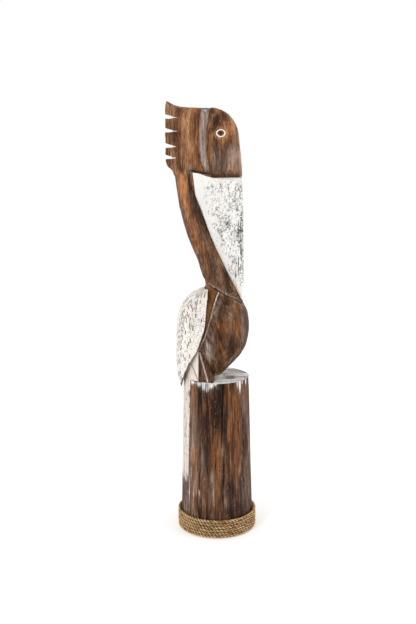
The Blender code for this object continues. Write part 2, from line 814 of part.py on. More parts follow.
def build():
    clear_scene()

    right_wing, left_wing = wing_dowels("wing_right", -1.0), wing_dowels("wing_left", 1.0)
    right_leg, left_leg = leg_dowels("leg_right", -1.0), leg_dowels("leg_left", 1.0)
    dowels = {**body_dowels(), **neck_dowels(), **bill_dowels()}
    dowels.update({**right_wing, **left_wing, **right_leg, **left_leg})
    for name, (centre, direction, size) in dowels.items():
        dowel(name, centre, direction, size)

    def bored(*groups):
        return [dowel_hole(*place) for group in groups for place in group.values()]

    body_room = body_form("body_room", None, grow=JOINT_GAP)
    block_room = tail_block("block_room", None, grow=JOINT_GAP)
    strip_room = tail_strip("strip_room", None, grow=JOINT_GAP)
    post_room = post_form("post_room", None, grow=JOINT_GAP)
    bill_room = bill_form("bill_room", None, grow=JOINT_GAP)
    neck_room = neck_form("neck_room", None, grow=JOINT_GAP)
    outline, parting = wing_outline(), wing_parting()

    tacks = tack_places()
    brad_heights = [share * POST_HEIGHT for share in BRAD_HEIGHT_SHARES]
    brad_holes = [brad_hole(height) for height in brad_heights]
    post = post_form("post", weathered_log())
    post_holes = bored(body_dowels(), right_leg, left_leg) + brad_holes
    post_holes += [tack_hole(place) for place in tacks.values()]
    cut(post, tail_housing(), holes("post_holes", post_holes))

    tail = tail_block("tail", whitewashed_wood())
    boolean(tail, tail_strip("strip", whitewashed_wood()), "UNION")
    cut(tail, body_room, holes("tail_holes", brad_holes))

    body = body_form("body", stained_wood())
    cut(body, holes("body_holes", bored(body_dowels(), neck_dowels(), right_wing, left_wing)))

    for name, side, group in (("wing_right", -1.0, right_wing), ("wing_left", 1.0, left_wing)):
        board = wing(name, side)
        boolean(board, outline, "INTERSECT")
        cut(board, parting, body_room, neck_room, block_room, strip_room, post_room)
        cut(board, holes(name + "_holes", bored(group)))

    for name, side, group in (("leg_right", -1.0, right_leg), ("leg_left", 1.0, left_leg)):
        cut(leg(name, side), body_room, holes(name + "_holes", bored(group)))

    head = neck_form("head_and_neck", stained_wood())
    boolean(head, crest_form(), "UNION")
    boolean(head, cheek_form(), "UNION")
    cut(head, bill_room, holes("head_holes", bored(neck_dowels(), bill_dowels())))
    cut(head, *[crest_notch(i + 1, height) for i, height in enumerate(NOTCH_HEIGHTS)])

    bill = bill_form("bill", whitewashed_wood())
    cut(bill, holes("bill_holes", bored(bill_dowels())))

    for label, height in zip(("upper", "lower"), brad_heights):
        brad(f"tail_brad_{label}", height)
    rope_wrap()
    for name, place in tacks.items():
        tack(name, place)


build()
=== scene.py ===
"""Visual model of the carved pelican figure: every carved piece starts from its CAD solid, gets tool marks,
grain and cracks as real geometry, and is painted by masks worked out from where each point lies.
Lengths in this file are millimetres in the row frame unless a name says otherwise."""
import json
import math

import bpy
import numpy as np
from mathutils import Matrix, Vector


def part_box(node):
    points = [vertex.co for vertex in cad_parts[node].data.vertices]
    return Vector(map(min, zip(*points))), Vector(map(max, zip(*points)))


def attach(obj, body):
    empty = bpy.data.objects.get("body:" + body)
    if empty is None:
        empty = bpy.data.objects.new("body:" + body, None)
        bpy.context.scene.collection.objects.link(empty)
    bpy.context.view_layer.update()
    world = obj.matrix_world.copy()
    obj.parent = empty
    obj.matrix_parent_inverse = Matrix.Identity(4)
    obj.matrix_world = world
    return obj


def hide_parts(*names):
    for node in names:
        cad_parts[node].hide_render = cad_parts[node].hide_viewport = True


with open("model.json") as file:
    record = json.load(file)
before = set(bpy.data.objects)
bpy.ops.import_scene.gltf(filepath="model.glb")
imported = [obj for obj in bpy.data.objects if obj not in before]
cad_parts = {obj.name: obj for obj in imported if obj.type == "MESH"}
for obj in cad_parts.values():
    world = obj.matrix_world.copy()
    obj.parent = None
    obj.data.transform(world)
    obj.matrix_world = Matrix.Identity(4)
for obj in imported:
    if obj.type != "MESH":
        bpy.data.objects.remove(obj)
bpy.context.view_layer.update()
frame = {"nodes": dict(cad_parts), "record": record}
MM = 0.001
MM_PER_METRE = 1000.0
BOX_INSET = 0.01  # how far every piece stays inside its CAD box
RELAX_ROUNDS = 3
BAKE_MARGIN = 0.002  # share of each view in the texture map left free at its edges
PERCH = 223.3  # the bird's units are measured up from here
ROPE_RADIUS = 54.45  # of the rope's centre line
ROPE_PITCH = 4.45
ROPE_FIRST = 2.55  # height of the rope's centre on its first turn
ROPE_HALF = 2.05
ROPE_TURNS = 5.85
ROPE_STEP = 0.15  # share of each turn in which the rope climbs
ROPE_START = math.radians(170.0)


# ---- numbers ----

def smooth(a, b, x):
    """0 before a, 1 past b and a soft step between; a may be the larger."""
    t = clamp((np.asarray(x, float) - a) / (b - a))
    return t * t * (3.0 - 2.0 * t)


def clamp(x):
    return np.clip(x, 0.0, 1.0)


def bump(x, centre, width):
    """1 at the centre, falling softly to nothing about a width away."""
    return np.exp(-((x - centre) / width) ** 2 * 2.0)


def spots(x, z, rows):
    """Sum of soft round marks. Each row: strength, place along X, half width, height, half height."""
    return sum(row[0] * bump(x, row[1], row[2]) * bump(z, row[3], row[4]) for row in rows)


def scatter(cell, seed):
    """A random number from -1 to 1 for each whole-numbered cell."""
    h = cell[:, 0] * 73856093 ^ cell[:, 1] * 19349663 ^ cell[:, 2] * 83492791 ^ seed * 40503
    h = (h ^ h >> 15) * 73244475 & 0xFFFFFFFF
    h = (h ^ h >> 13) * 1274126177 & 0xFFFFFFFF
    return (h ^ h >> 16) / 2147483648.0 - 1.0


def noise(p, size, seed):
    """Smooth noise from -1 to 1 whose features are about this size along each axis."""
    q = p / np.asarray(size, float) + 31.7 * seed
    cell = np.floor(q).astype(np.int64)
    f = q - cell
    f = f * f * (3.0 - 2.0 * f)
    total = np.zeros(len(p))
    for corner in range(8):
        step = np.array([corner & 1, corner >> 1 & 1, corner >> 2 & 1])
        total += np.where(step, f, 1.0 - f).prod(axis=1) * scatter(cell + step, seed)
    return total


def rough(p, size, seed, levels=3):
    """Noise with finer noise added, halving in size and strength."""
    size = np.asarray(size, float)
    total = sum(noise(p, size / 2.0**k, seed + k) / 2.0**k for k in range(levels))
    return total / (2.0 - 2.0 ** (1 - levels))


def nearest(p, size, seed):
    """Distance, in cells, to the nearest of one scattered point a cell, and that point's own number.
    With sizes along X and Z only, the points lie in one sheet."""
    sheet = len(size) == 2
    size = np.array([size[0], 1e9, size[1]] if sheet else size, float)
    q = (p + 500.0) / size + [seed % 7, 0, 0]
    base = np.floor(q).astype(np.int64)
    best = np.full(len(p), 9.0)
    tag = np.zeros(len(p))
    jitter = np.array([0.42, 0.0 if sheet else 0.42, 0.42])
    for k in range(27):
        if sheet and k // 3 % 3 != 1:
            continue
        cell = base + np.array([k % 3 - 1, k // 3 % 3 - 1, k // 9 - 1])
        point = cell + 0.5 + jitter * np.stack([scatter(cell, seed + j) for j in (1, 2, 3)], axis=1)
        if sheet:
            point[:, 1] = q[:, 1]
        far = ((q - point) ** 2).sum(axis=1)
        closer = far < best
        best = np.where(closer, far, best)
        tag = np.where(closer, scatter(cell, seed + 4), tag)
    return np.sqrt(best), tag


def scoops(p, size, seed):
    """Gouge marks: 0 on the ridges between them and -1 in the middle of each."""
    d, _ = nearest(p, size, seed)
    return clamp(d * 1.5) ** 2 - 1.0


def line_distance(x, z, points):
    """Distance in the XZ plane to a drawn line, and how far along it the nearest place lies."""
    best = np.full(len(x), 1e9)
    along = np.zeros(len(x))
    for k, ((ax, az), (bx, bz)) in enumerate(zip(points, points[1:])):
        dx, dz = bx - ax, bz - az
        t = clamp(((x - ax) * dx + (z - az) * dz) / (dx * dx + dz * dz))
        d = np.hypot(x - ax - t * dx, z - az - t * dz)
        closer = d < best
        best = np.where(closer, d, best)
        along = np.where(closer, k + t, along)
    return best, along / (len(points) - 1)


def across(value, table):
    """Reads a table of (position, value) rows at each value, position rising."""
    rows = np.array(table, float)
    return np.interp(value, rows[:, 0], rows[:, 1])


def directions(vectors):
    """The vectors scaled to length 1."""
    return vectors / np.linalg.norm(vectors, axis=-1, keepdims=True)


def colour(r, g, b):
    """A linear colour from its 0 to 255 screen values."""
    parts = [v / 255.0 for v in (r, g, b)]
    return tuple(v / 12.92 if v < 0.04045 else ((v + 0.055) / 1.055) ** 2.4 for v in parts) + (1.0,)


# ---- meshes ----

def relaxed(co, edges):
    """Evens out a mesh without shrinking it much."""
    a, b = edges[:, 0], edges[:, 1]
    count = np.bincount(edges.ravel(), minlength=len(co))[:, None]
    for share in [0.6, -0.62] * RELAX_ROUNDS:
        sums = [np.bincount(a, co[b, k], len(co)) + np.bincount(b, co[a, k], len(co)) for k in range(3)]
        total = np.stack(sums, axis=1)
        co = co + share * (total / count - co)
    return co


def read(items, name, width, kind=np.float32):
    found = np.empty(len(items) * width, kind)
    items.foreach_get(name, found)
    return found.reshape(-1, width)


def normals_of(me):
    return read(me.vertex_normals, "vector", 3).astype(float)


def bake_map(me):
    """A texture map of six views of the piece laid side by side, one for each way its faces look."""
    normal = read(me.polygons, "normal", 3)
    way = np.abs(normal).argmax(axis=1)
    group = way * 2 + (normal[np.arange(len(way)), way] > 0)
    size = read(me.polygons, "loop_total", 1, np.int32)[:, 0]
    vertex = read(me.loops, "vertex_index", 1, np.int32)[:, 0]
    place = read(me.vertices, "co", 3)[vertex]
    corner_group = np.repeat(group, size)
    low = place.min(axis=0)
    span = place.max(axis=0) - low + 1e-6
    tall = span[2] + span[1]
    wide = 2 * (span[0] + span[1])
    # left edge, bottom edge, axis across, axis up, for faces looking -X +X -Y +Y -Z +Z
    cells = [
        (2 * span[0], span[1], 1, 2),
        (2 * span[0] + span[1], span[1], 1, 2),
        (0.0, span[1], 0, 2),
        (span[0], span[1], 0, 2),
        (0.0, 0.0, 0, 1),
        (span[0], 0.0, 0, 1),
    ]
    inner = 1.0 - 2.0 * BAKE_MARGIN
    uv = np.zeros((len(vertex), 2), np.float32)
    for k, (left, bottom, u, v) in enumerate(cells):
        mine = corner_group == k
        uv[mine, 0] = (left + BAKE_MARGIN * span[u] + (place[mine, u] - low[u]) * inner) / wide
        uv[mine, 1] = (bottom + BAKE_MARGIN * span[v] + (place[mine, v] - low[v]) * inner) / tall
    me.uv_layers.new(name="OFBake").uv.foreach_set("vector", uv.ravel())


def placed(name, data):
    """A new object in the scene."""
    ob = bpy.data.objects.new(name, data)
    bpy.context.scene.collection.objects.link(ob)
    return ob


def new_piece(name, me, node, material):
    ob = placed(name, me)
    me.materials.clear()
    me.materials.append(material)
    me.shade_smooth()
    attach(ob, "root")
    if node:
        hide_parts(node)
    return ob


def carved(node, slot, material, voxel, look):
    """Builds a piece over its CAD solid: evenly meshed, cut and cracked by look(), and painted by it."""
    copy = placed("working", frame["nodes"][node].data.copy())
    remesh = copy.modifiers.new("even", "REMESH")
    remesh.mode = "VOXEL"
    remesh.voxel_size = voxel * MM
    me = bpy.data.meshes.new_from_object(copy.evaluated_get(bpy.context.evaluated_depsgraph_get()))
    bpy.data.objects.remove(copy)
    me.name = node + "_carved"
    edges = read(me.edges, "vertices", 2, np.int32)
    co = relaxed(read(me.vertices, "co", 3).astype(float) / MM, edges)
    me.vertices.foreach_set("co", (co * MM).ravel())
    me.update()
    lift, coat = look(co, normals_of(me))
    low, high = (np.array(v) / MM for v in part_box(node))
    co = np.clip(co + normals_of(me) * lift[:, None], low + BOX_INSET, high - BOX_INSET)
    me.vertices.foreach_set("co", (co * MM).ravel())
    me.update()
    layer = me.attributes.new("coat", "FLOAT_COLOR", "POINT")
    layer.data.foreach_set("color", clamp(coat).astype(np.float32).ravel())
    bake_map(me)
    return new_piece(node + "_carved", me, node, material)


def coat_of(n, paint=0.0, wash=0.0, warm=0.0, dark=0.0):
    """The four masks as one table: white paint, grey wash that in places is a painted highlight, rubbed-back
    warmth that on the neck is a painted highlight, and darkening from grime, stain and painted shade.
    """
    return np.stack([np.zeros(n) + v for v in (paint, wash, warm, dark)], axis=1)


# ---- materials ----

class Graph:
    """A material under construction. Each call adds one node and returns its output."""

    def __init__(self, name):
        self.material = bpy.data.materials.new(name)
        self.material.use_nodes = True
        self.tree = self.material.node_tree
        self.tree.nodes.clear()

    def node(self, kind, ins, **settings):
        n = self.tree.nodes.new("ShaderNode" + kind)
        for key, value in settings.items():
            setattr(n, key, value)
        for key, value in ins.items():
            if isinstance(value, bpy.types.NodeSocket):
                self.tree.links.new(value, n.inputs[key])
            else:
                n.inputs[key].default_value = value
        return n

    def sum(self, kind, a, b=0.0, c=0.0, clamp=False):
        return self.node("Math", {0: a, 1: b, 2: c}, operation=kind, use_clamp=clamp).outputs[0]

    def mix(self, share, a, b, blend="MIX"):
        settings = {"data_type": "RGBA", "blend_type": blend, "clamp_factor": True}
        return self.node("Mix", {0: share, 6: a, 7: b}, **settings).outputs[2]

    def ramp(self, value, stops):
        n = self.node("ValToRGB", {0: value})
        line = n.color_ramp
        while len(line.elements) < len(stops):
            line.elements.new(0.5)
        for element, (at, shade) in zip(line.elements, stops):
            element.position = at
            element.color = shade if isinstance(shade, tuple) else (shade, shade, shade, 1.0)
        return n.outputs[0]

    def grid(self, per_mm):
        """Object coordinates scaled to so many units a millimetre along each axis."""
        where = self.node("TexCoord", {}).outputs["Object"]
        scale = tuple(v * MM_PER_METRE for v in per_mm)
        return self.node("VectorMath", {0: where, 1: scale}, operation="MULTIPLY").outputs[0]

    def noise(self, size, detail, roughness, offset=0.0):
        """Noise with features of this many millimetres along each axis."""
        where = self.grid([1.0 / v for v in size])
        if offset:
            shift = (offset, offset, offset)
            where = self.node("VectorMath", {0: where, 1: shift}, operation="ADD").outputs[0]
        ins = {"Vector": where, "Scale": 1.0, "Detail": detail, "Roughness": roughness}
        return self.node("TexNoise", ins).outputs["Fac"]

    def finish(self, base, roughness, height, depth_mm, specular=0.16, metallic=0.0):
        relief = self.node("Bump", {"Height": height, "Distance": depth_mm * MM, "Strength": 1.0})
        shader = self.node(
            "BsdfPrincipled",
            {"Base Color": base, "Roughness": roughness, "Normal": relief.outputs[0],
             "Specular IOR Level": specular, "Metallic": metallic},
        )
        self.node("OutputMaterial", {"Surface": shader.outputs[0]})
        return self.material


WOOD_ROUGHNESS = (0.56, 0.42)  # of the darkest and the lightest grain
GLINT = 0.3  # how far thin warm shreds show through the stain


def wood_material(
    name, tones, warm, wash, white, grime_and_shade_colour, streak=(1.6, 1.6, 34.0), chips=0.5, pits=0.25, contrast=1.0
):
    """Stained wood under worn paint. The coat masks say where paint, wash, warmth and darkening lie; the wash
    and warmth also carry painted highlights and reflections, and the darkening carries grime, stain and
    painted shade.
    """
    g = Graph(name)
    masks = g.node("Attribute", {}, attribute_name="coat")
    parts = g.node("SeparateColor", {0: masks.outputs["Color"]})
    paint, grey, glow = parts.outputs[0], parts.outputs[1], parts.outputs[2]
    dark = masks.outputs["Alpha"]

    grain = g.noise(streak, 4.0, 0.62)
    broad = g.noise((9.0, 9.0, 70.0), 3.0, 0.5, offset=4.0)
    fine = g.noise((0.55, 0.55, 7.0), 2.0, 0.6, offset=9.0)
    speck = g.noise((0.8, 0.8, 1.3), 2.0, 0.6, offset=17.0)
    tone = g.sum("MULTIPLY_ADD", broad, 0.9, g.sum("MULTIPLY_ADD", grain, 1.0, -0.45))
    tone = g.sum("MULTIPLY_ADD", tone, contrast, 0.5 - 0.5 * contrast)
    stained = g.ramp(tone, tones)
    lines = g.ramp(fine, [(0.40, 0.2), (0.54, 1.0)])
    stained = g.mix(0.9, stained, lines, "MULTIPLY")
    # The warmth mask lightens toward the warm colours: rubbed-back wood, and on the neck a painted highlight.
    rubbed = g.sum("MULTIPLY", glow, g.ramp(grain, [(0.28, 0.35), (0.62, 1.0)]))
    stained = g.mix(rubbed, stained, g.mix(g.ramp(fine, [(0.35, 0.0), (0.65, 1.0)]), warm[0], warm[1]))
    shreds = g.ramp(g.noise((0.6, 0.6, 10.0), 2.0, 0.6, offset=31.0), [(0.55, 0.0), (0.68, 1.0)])
    stained = g.mix(g.sum("MULTIPLY", shreds, GLINT), stained, warm[1])
    fibres = g.sum("MULTIPLY_ADD", fine, 0.5, g.sum("MULTIPLY", grain, 0.5))
    # The wash mask lays the pale wash colour over the stain: real wash, and on the log, the head and the body
    # painted reflections and highlights.
    smear = g.sum("MULTIPLY", grey, g.ramp(fibres, [(0.34, 0.15), (0.6, 1.0)]))
    stained = g.mix(smear, stained, wash)

    worn = g.sum("SUBTRACT", grain, 0.5)
    worn = g.sum("MULTIPLY_ADD", worn, chips, g.sum("MULTIPLY", g.sum("SUBTRACT", speck, 0.5), chips * 0.8))
    cover = g.ramp(g.sum("ADD", paint, worn), [(0.32, 0.0), (0.52, 1.0)])
    chalk = g.mix(g.ramp(broad, [(0.35, 0.0), (0.65, 1.0)]), white[0], white[1])
    chalk = g.mix(g.ramp(fine, [(0.30, pits), (0.46, 0.0)]), chalk, wash)
    base = g.mix(cover, stained, chalk)
    # The dark mask darkens toward the dark colour: grime and stain, and painted shade on the neck, in the
    # head's creases, under the head and low on the belly.
    grime_and_shade = g.sum("MULTIPLY", dark, g.ramp(speck, [(0.25, 0.75), (0.6, 1.0)]), clamp=True)
    base = g.mix(grime_and_shade, base, grime_and_shade_colour)

    gloss = g.ramp(grain, [(0.3, WOOD_ROUGHNESS[0]), (0.7, WOOD_ROUGHNESS[1])])
    roughness = g.mix(cover, gloss, (0.78, 0.78, 0.78, 1.0))
    roughness = g.mix(grime_and_shade, roughness, (0.85, 0.85, 0.85, 1.0))
    height = g.sum("MULTIPLY_ADD", fine, 0.55, g.sum("MULTIPLY", grain, 0.45))
    height = g.sum("MULTIPLY_ADD", cover, 0.35, height)
    height = g.sum("MULTIPLY_ADD", speck, 0.15, height)
    return g.finish(base, roughness, height, 0.28)


def tones(*stops):
    return [(at, colour(*shade)) for at, shade in stops]


# Stain tones, dark to light: place on the ramp and screen colour.
BIRD_TONES = tones(
    (0.18, (44, 22, 11)), (0.36, (86, 50, 29)), (0.50, (126, 80, 50)),
    (0.64, (158, 110, 74)), (0.82, (196, 150, 108)),
)
BODY_TONES = tones(
    (0.20, (40, 20, 9)), (0.38, (66, 38, 19)), (0.52, (96, 60, 35)),
    (0.66, (128, 88, 56)), (0.84, (166, 132, 102)),
)
POST_TONES = tones(
    (0.22, (22, 9, 4)), (0.40, (52, 26, 14)), (0.52, (78, 42, 23)),
    (0.66, (114, 70, 42)), (0.84, (156, 112, 76)),
)
# Warm colours of rubbed-back wood; on the neck they also paint a highlight.
WARM_AND_HIGHLIGHT = (colour(180, 110, 60), colour(208, 150, 100))
BODY_WARM = (colour(142, 82, 34), colour(172, 112, 56))
# Grey wash, also the colour of painted highlights in the head's cove, on the cheek and on the body.
WASH_AND_HIGHLIGHT = colour(176, 160, 148)
# Grey wash on the log, also the colour of its painted reflections.
POST_WASH_AND_SHEEN = colour(178, 158, 144)
WHITE = (colour(246, 245, 242), colour(240, 237, 232))
WING_WHITE = (colour(246, 241, 235), colour(240, 231, 220))
TAIL_WHITE = (colour(236, 225, 214), colour(222, 209, 196))
# Dark colour of grime and stain on the bird, also used for painted shade on the neck, head and belly.
GRIME_AND_SHADE = colour(40, 28, 22)
POST_DIRT = colour(18, 11, 9)
# Dark colour of marks in the white paint, also used for the painted shadow under the head on the bill.
INK_AND_SHADE = colour(58, 50, 48)

bird_wood = wood_material("stained_bird", BIRD_TONES, WARM_AND_HIGHLIGHT, WASH_AND_HIGHLIGHT, WHITE, GRIME_AND_SHADE, contrast=1.3)
body_wood = wood_material(
    "stained_body", BODY_TONES, BODY_WARM, WASH_AND_HIGHLIGHT, WHITE, GRIME_AND_SHADE, streak=(2.4, 2.4, 16.0), contrast=1.35
)
leg_wood = wood_material("stained_leg", BIRD_TONES, WARM_AND_HIGHLIGHT, WASH_AND_HIGHLIGHT, WHITE, GRIME_AND_SHADE, streak=(1.4, 1.4, 14.0))
post_wood = wood_material(
    "weathered_log", POST_TONES, BODY_WARM, POST_WASH_AND_SHEEN, WHITE, POST_DIRT, streak=(1.5, 1.5, 42.0), contrast=1.7
)
bill_paint = wood_material("whitewashed_bill", BIRD_TONES, WARM_AND_HIGHLIGHT, WASH_AND_HIGHLIGHT, WHITE, INK_AND_SHADE, chips=0.35, pits=0.2)
wing_paint = wood_material("whitewashed_wing", BIRD_TONES, WARM_AND_HIGHLIGHT, WASH_AND_HIGHLIGHT, WING_WHITE, INK_AND_SHADE, chips=0.4, pits=0.3)
tail_paint = wood_material("whitewashed_tail", POST_TONES, WARM_AND_HIGHLIGHT, WASH_AND_HIGHLIGHT, TAIL_WHITE, INK_AND_SHADE, chips=0.4, pits=0.5)


STRAW_TONES = tones(
    (0.34, (92, 62, 34)), (0.50, (168, 126, 80)), (0.62, (218, 182, 130)), (0.80, (230, 202, 160))
)


def rope_material():
    g = Graph("straw_rope")
    lay = g.node("Attribute", {}, attribute_name="fibre").outputs["Fac"]
    hollow = g.node("Attribute", {}, attribute_name="hollow").outputs["Fac"]
    patch = g.noise((6.0, 6.0, 3.0), 3.0, 0.6)
    fleck = g.noise((0.7, 0.7, 0.5), 2.0, 0.6, offset=3.0)
    mottle = g.sum("MULTIPLY_ADD", patch, 0.35, g.sum("MULTIPLY", fleck, 0.3))
    shade = g.sum("MULTIPLY_ADD", lay, 0.5, mottle)
    base = g.ramp(shade, STRAW_TONES)
    # Painted shade: the grooves between the strands are darkened toward deep brown.
    base = g.mix(g.sum("MULTIPLY", hollow, 0.95), base, colour(40, 22, 10))
    return g.finish(base, g.ramp(lay, [(0.2, 0.62), (0.8, 0.45)]), g.sum("ADD", lay, fleck), 0.12)


def dowel_material():
    g = Graph("turned_dowel")
    ring = g.noise((0.5, 0.5, 9.0), 3.0, 0.6)
    base = g.ramp(ring, tones((0.3, (150, 110, 72)), (0.5, (186, 146, 104)), (0.75, (210, 176, 134))))
    return g.finish(base, g.ramp(ring, [(0.3, 0.6), (0.7, 0.5)]), ring, 0.08)


def steel_material():
    g = Graph("plain_steel")
    scratch = g.noise((0.25, 0.25, 0.25), 3.0, 0.6)
    stain = g.noise((1.4, 1.4, 1.4), 2.0, 0.5, offset=5.0)
    base = g.mix(g.ramp(stain, [(0.5, 0.0), (0.72, 0.6)]), colour(150, 148, 145), colour(96, 74, 58))
    return g.finish(base, g.ramp(scratch, [(0.3, 0.5), (0.7, 0.32)]), scratch, 0.02, metallic=1.0)


# ---- the looks of the carved pieces ----

# Cracks down the post: azimuth from the near side in degrees, lowest and highest point, half width, depth.
POST_CRACKS = [
    (7.3, 128, 223, 1.1, 2.4), (9.5, 40, 122, 0.9, 1.4), (-20, 150, 219, 0.8, 1.1),
    (-30, 60, 148, 0.9, 1.2), (-4, 92, 168, 0.7, 0.9), (22, 30, 104, 0.8, 1),
    (31, 120, 208, 0.7, 0.8), (48, 60, 190, 0.9, 1.3), (62, 34, 110, 0.8, 1),
    (-44, 40, 96, 0.7, 0.9), (78, 100, 221, 1, 1.9), (96, 30, 130, 0.9, 1.3),
    (112, 80, 212, 0.8, 1.2), (131, 34, 160, 1, 1.7), (146, 120, 221, 0.8, 1.1),
    (-64, 30, 170, 0.9, 1.2), (-78, 110, 220, 0.8, 1.4), (-100, 32, 150, 1, 1.5),
    (-118, 90, 214, 0.8, 1.1), (-136, 36, 120, 0.9, 1.2),
]
# Tone bands down the post: azimuth, half width in degrees, warmth, darkness, lowest and highest point.
POST_BANDS = [
    (-46, 7, 0.45, 0, 110, 218), (-29, 8, 0, 0.62, 96, 222), (-15, 6, 0, 0.34, 118, 216),
    (-7, 5, 0.35, 0, 40, 170), (3, 3, 0, 0.4, 140, 223), (12, 5, 0, 0.42, 130, 223),
    (20, 4, 0.3, 0, 100, 206), (34, 9, 0.6, 0, 84, 208), (58, 7, 0, 0.2, 60, 223),
    (-42, 9, 0.75, 0, 30, 130), (2, 4, 0.3, 0, 30, 100), (-20, 5, 0.3, 0, 30, 96),
    (13, 7, 0, 0.35, 60, 150), (2, 7, 0.9, 0, 112, 150),
]
# Grey patches down the post, painted in as reflections on the glossy log: azimuth, half width in degrees,
# height, reach up and down, strength.
POST_SHEEN_PATCHES = [
    (-44, 9, 150, 75, 0.75), (-28, 7, 108, 34, 0.7), (8, 4, 126, 30, 0.7),
    (16, 5, 50, 16, 0.7), (57, 8, 186, 40, 0.5), (-12, 6, 62, 26, 0.45),
    (52, 9, 62, 34, 0.4), (110, 10, 90, 50, 0.6), (-100, 9, 150, 60, 0.5),
]
# White runs over the post's rim: azimuth, half width in degrees, length, strength.
POST_DRIPS = [
    (-47, 9, 3, 0.9), (-30, 11, 6, 0.9), (-21, 11, 11, 1), (-13, 8, 8, 0.9),
    (-3, 5, 4, 0.6), (37, 4, 10, 0.62), (43, 4, 15, 0.68), (50, 4, 8, 0.55),
    (62, 4, 9, 0.7), (84, 5, 12, 0.8), (110, 4, 8, 0.7), (140, 6, 14, 0.9), (-60, 6, 6, 0.9),
]


POST_TOP = 223.0
CRACK_OPEN = 218.0  # a crack that reaches higher than this runs out over the rim


def around(turn, azimuth):
    """Degrees from the azimuth round to each point, from -180 to 180."""
    return (turn - azimuth + 180) % 360 - 180.0


def crack_cut(p, turn, radius):
    """How deep the log's drying cracks cut at each point."""
    z = p[:, 2]
    cut = np.zeros(len(p))
    for k, (azimuth, low, high, half, deep) in enumerate(POST_CRACKS):
        drift = 2.2 * noise(p * [0, 0, 1] + [7 * k, 0, 0], (1, 1, 26), 40 + k)
        d = np.abs(np.radians(around(turn - azimuth, drift))) * radius
        reach = smooth(low - 6, low + 14, z)
        if high <= CRACK_OPEN:
            reach = reach * (1 - smooth(high - 8, high + 1, z))
        ragged = 0.75 + 0.35 * noise(p, (2, 2, 9), 70 + k)
        cut = np.maximum(cut, deep * reach * np.exp(-(d / (half * ragged)) ** 2))
    return cut


def post_tone(p, turn, grooves):
    """Where the post's stain is rubbed warm, and where it is dark."""
    z = p[:, 2]
    warm = clamp(noise(p, (8, 8, 90), 15) - 0.15) * 0.7
    dark = clamp(noise(p, (6, 6, 70), 16) - 0.25) * 0.8
    drift = 2.5 * noise(p, (9, 9, 30), 17)
    for azimuth, half, glow, shade, low, high in POST_BANDS:
        here = np.exp(-((around(turn, azimuth) + drift) / half) ** 2)
        here = here * smooth(low - 14, low + 14, z) * smooth(high + 10, high - 10, z)
        warm += glow * here
        dark += shade * here
    dark += 0.95 * smooth(0.04, 0.36, rough(p, (1.8, 1.8, 36), 31))
    dark += 0.5 * bump(turn, 22, 14) * bump(z, 62, 34) + 0.25 * smooth(50, 34, z)
    return warm, np.clip(dark, 0, 0.9) * (0.75 + 0.35 * grooves)


def post_wash(p, turn, shred, left):
    """Grey wash on the post: low down, in flecks and scratches, and in long shreds."""
    z = p[:, 2]
    low_wash = clamp(rough(p, (3, 3, 26), 20)) * smooth(150, 40, z) * 0.6
    low_wash += 0.35 * smooth(-26, -42, turn) * smooth(-75, -62, turn) * smooth(140, 90, z)
    fleck = smooth(0.76, 0.86, noise(p, (1.3, 1.3, 4), 24))
    scratches = smooth(0.25, 0.7, noise(p, (1.6, 1.6, 18), 22))
    wash = clamp(0.7 * low_wash + 0.4 * scratches * noise(p, (14, 14, 40), 21) + 0.8 * fleck)
    place = left * smooth(165, 130, z) + 0.8 * bump(turn, -6, 22) * smooth(112, 84, z)
    place += 0.65 * bump(turn, 40, 18) * bump(z, 112, 40) + 0.12
    place += 0.5 * smooth(70, 110, np.abs(turn)) * smooth(170, 90, z)
    return np.maximum(wash, shred * clamp(place))


def post_drips(p, turn):
    """White paint that ran over the post's rim."""
    paint = np.zeros(len(p))
    ragged = 0.85 + 0.3 * noise(p, (3, 3, 50), 26)
    for azimuth, half, length, strength in POST_DRIPS:
        end = POST_TOP - length * ragged
        run = np.exp(-(around(turn, azimuth) / half) ** 2) * smooth(end - 10, end + 5, p[:, 2])
        paint = np.maximum(paint, strength * run)
    return paint


def post_top(p, radius, strokes):
    """Paint on the post's sawn top, and the dark lines between its brush strokes."""
    x, y, _ = p.T
    face = 0.60 + 0.45 * strokes + 0.25 * noise(p, (9, 9, 9), 27)
    face -= 0.5 * smooth(0.1, 0.6, noise(p, (7, 5, 9), 29)) * smooth(40, 46, radius)
    face -= 0.55 * bump(x, 20, 12) * bump(y, -12, 14) - 0.5 * smooth(-36, -44, y)
    return clamp(face), smooth(0.05, 0.35, -strokes) * smooth(-20, 34, x + 0.5 * y)


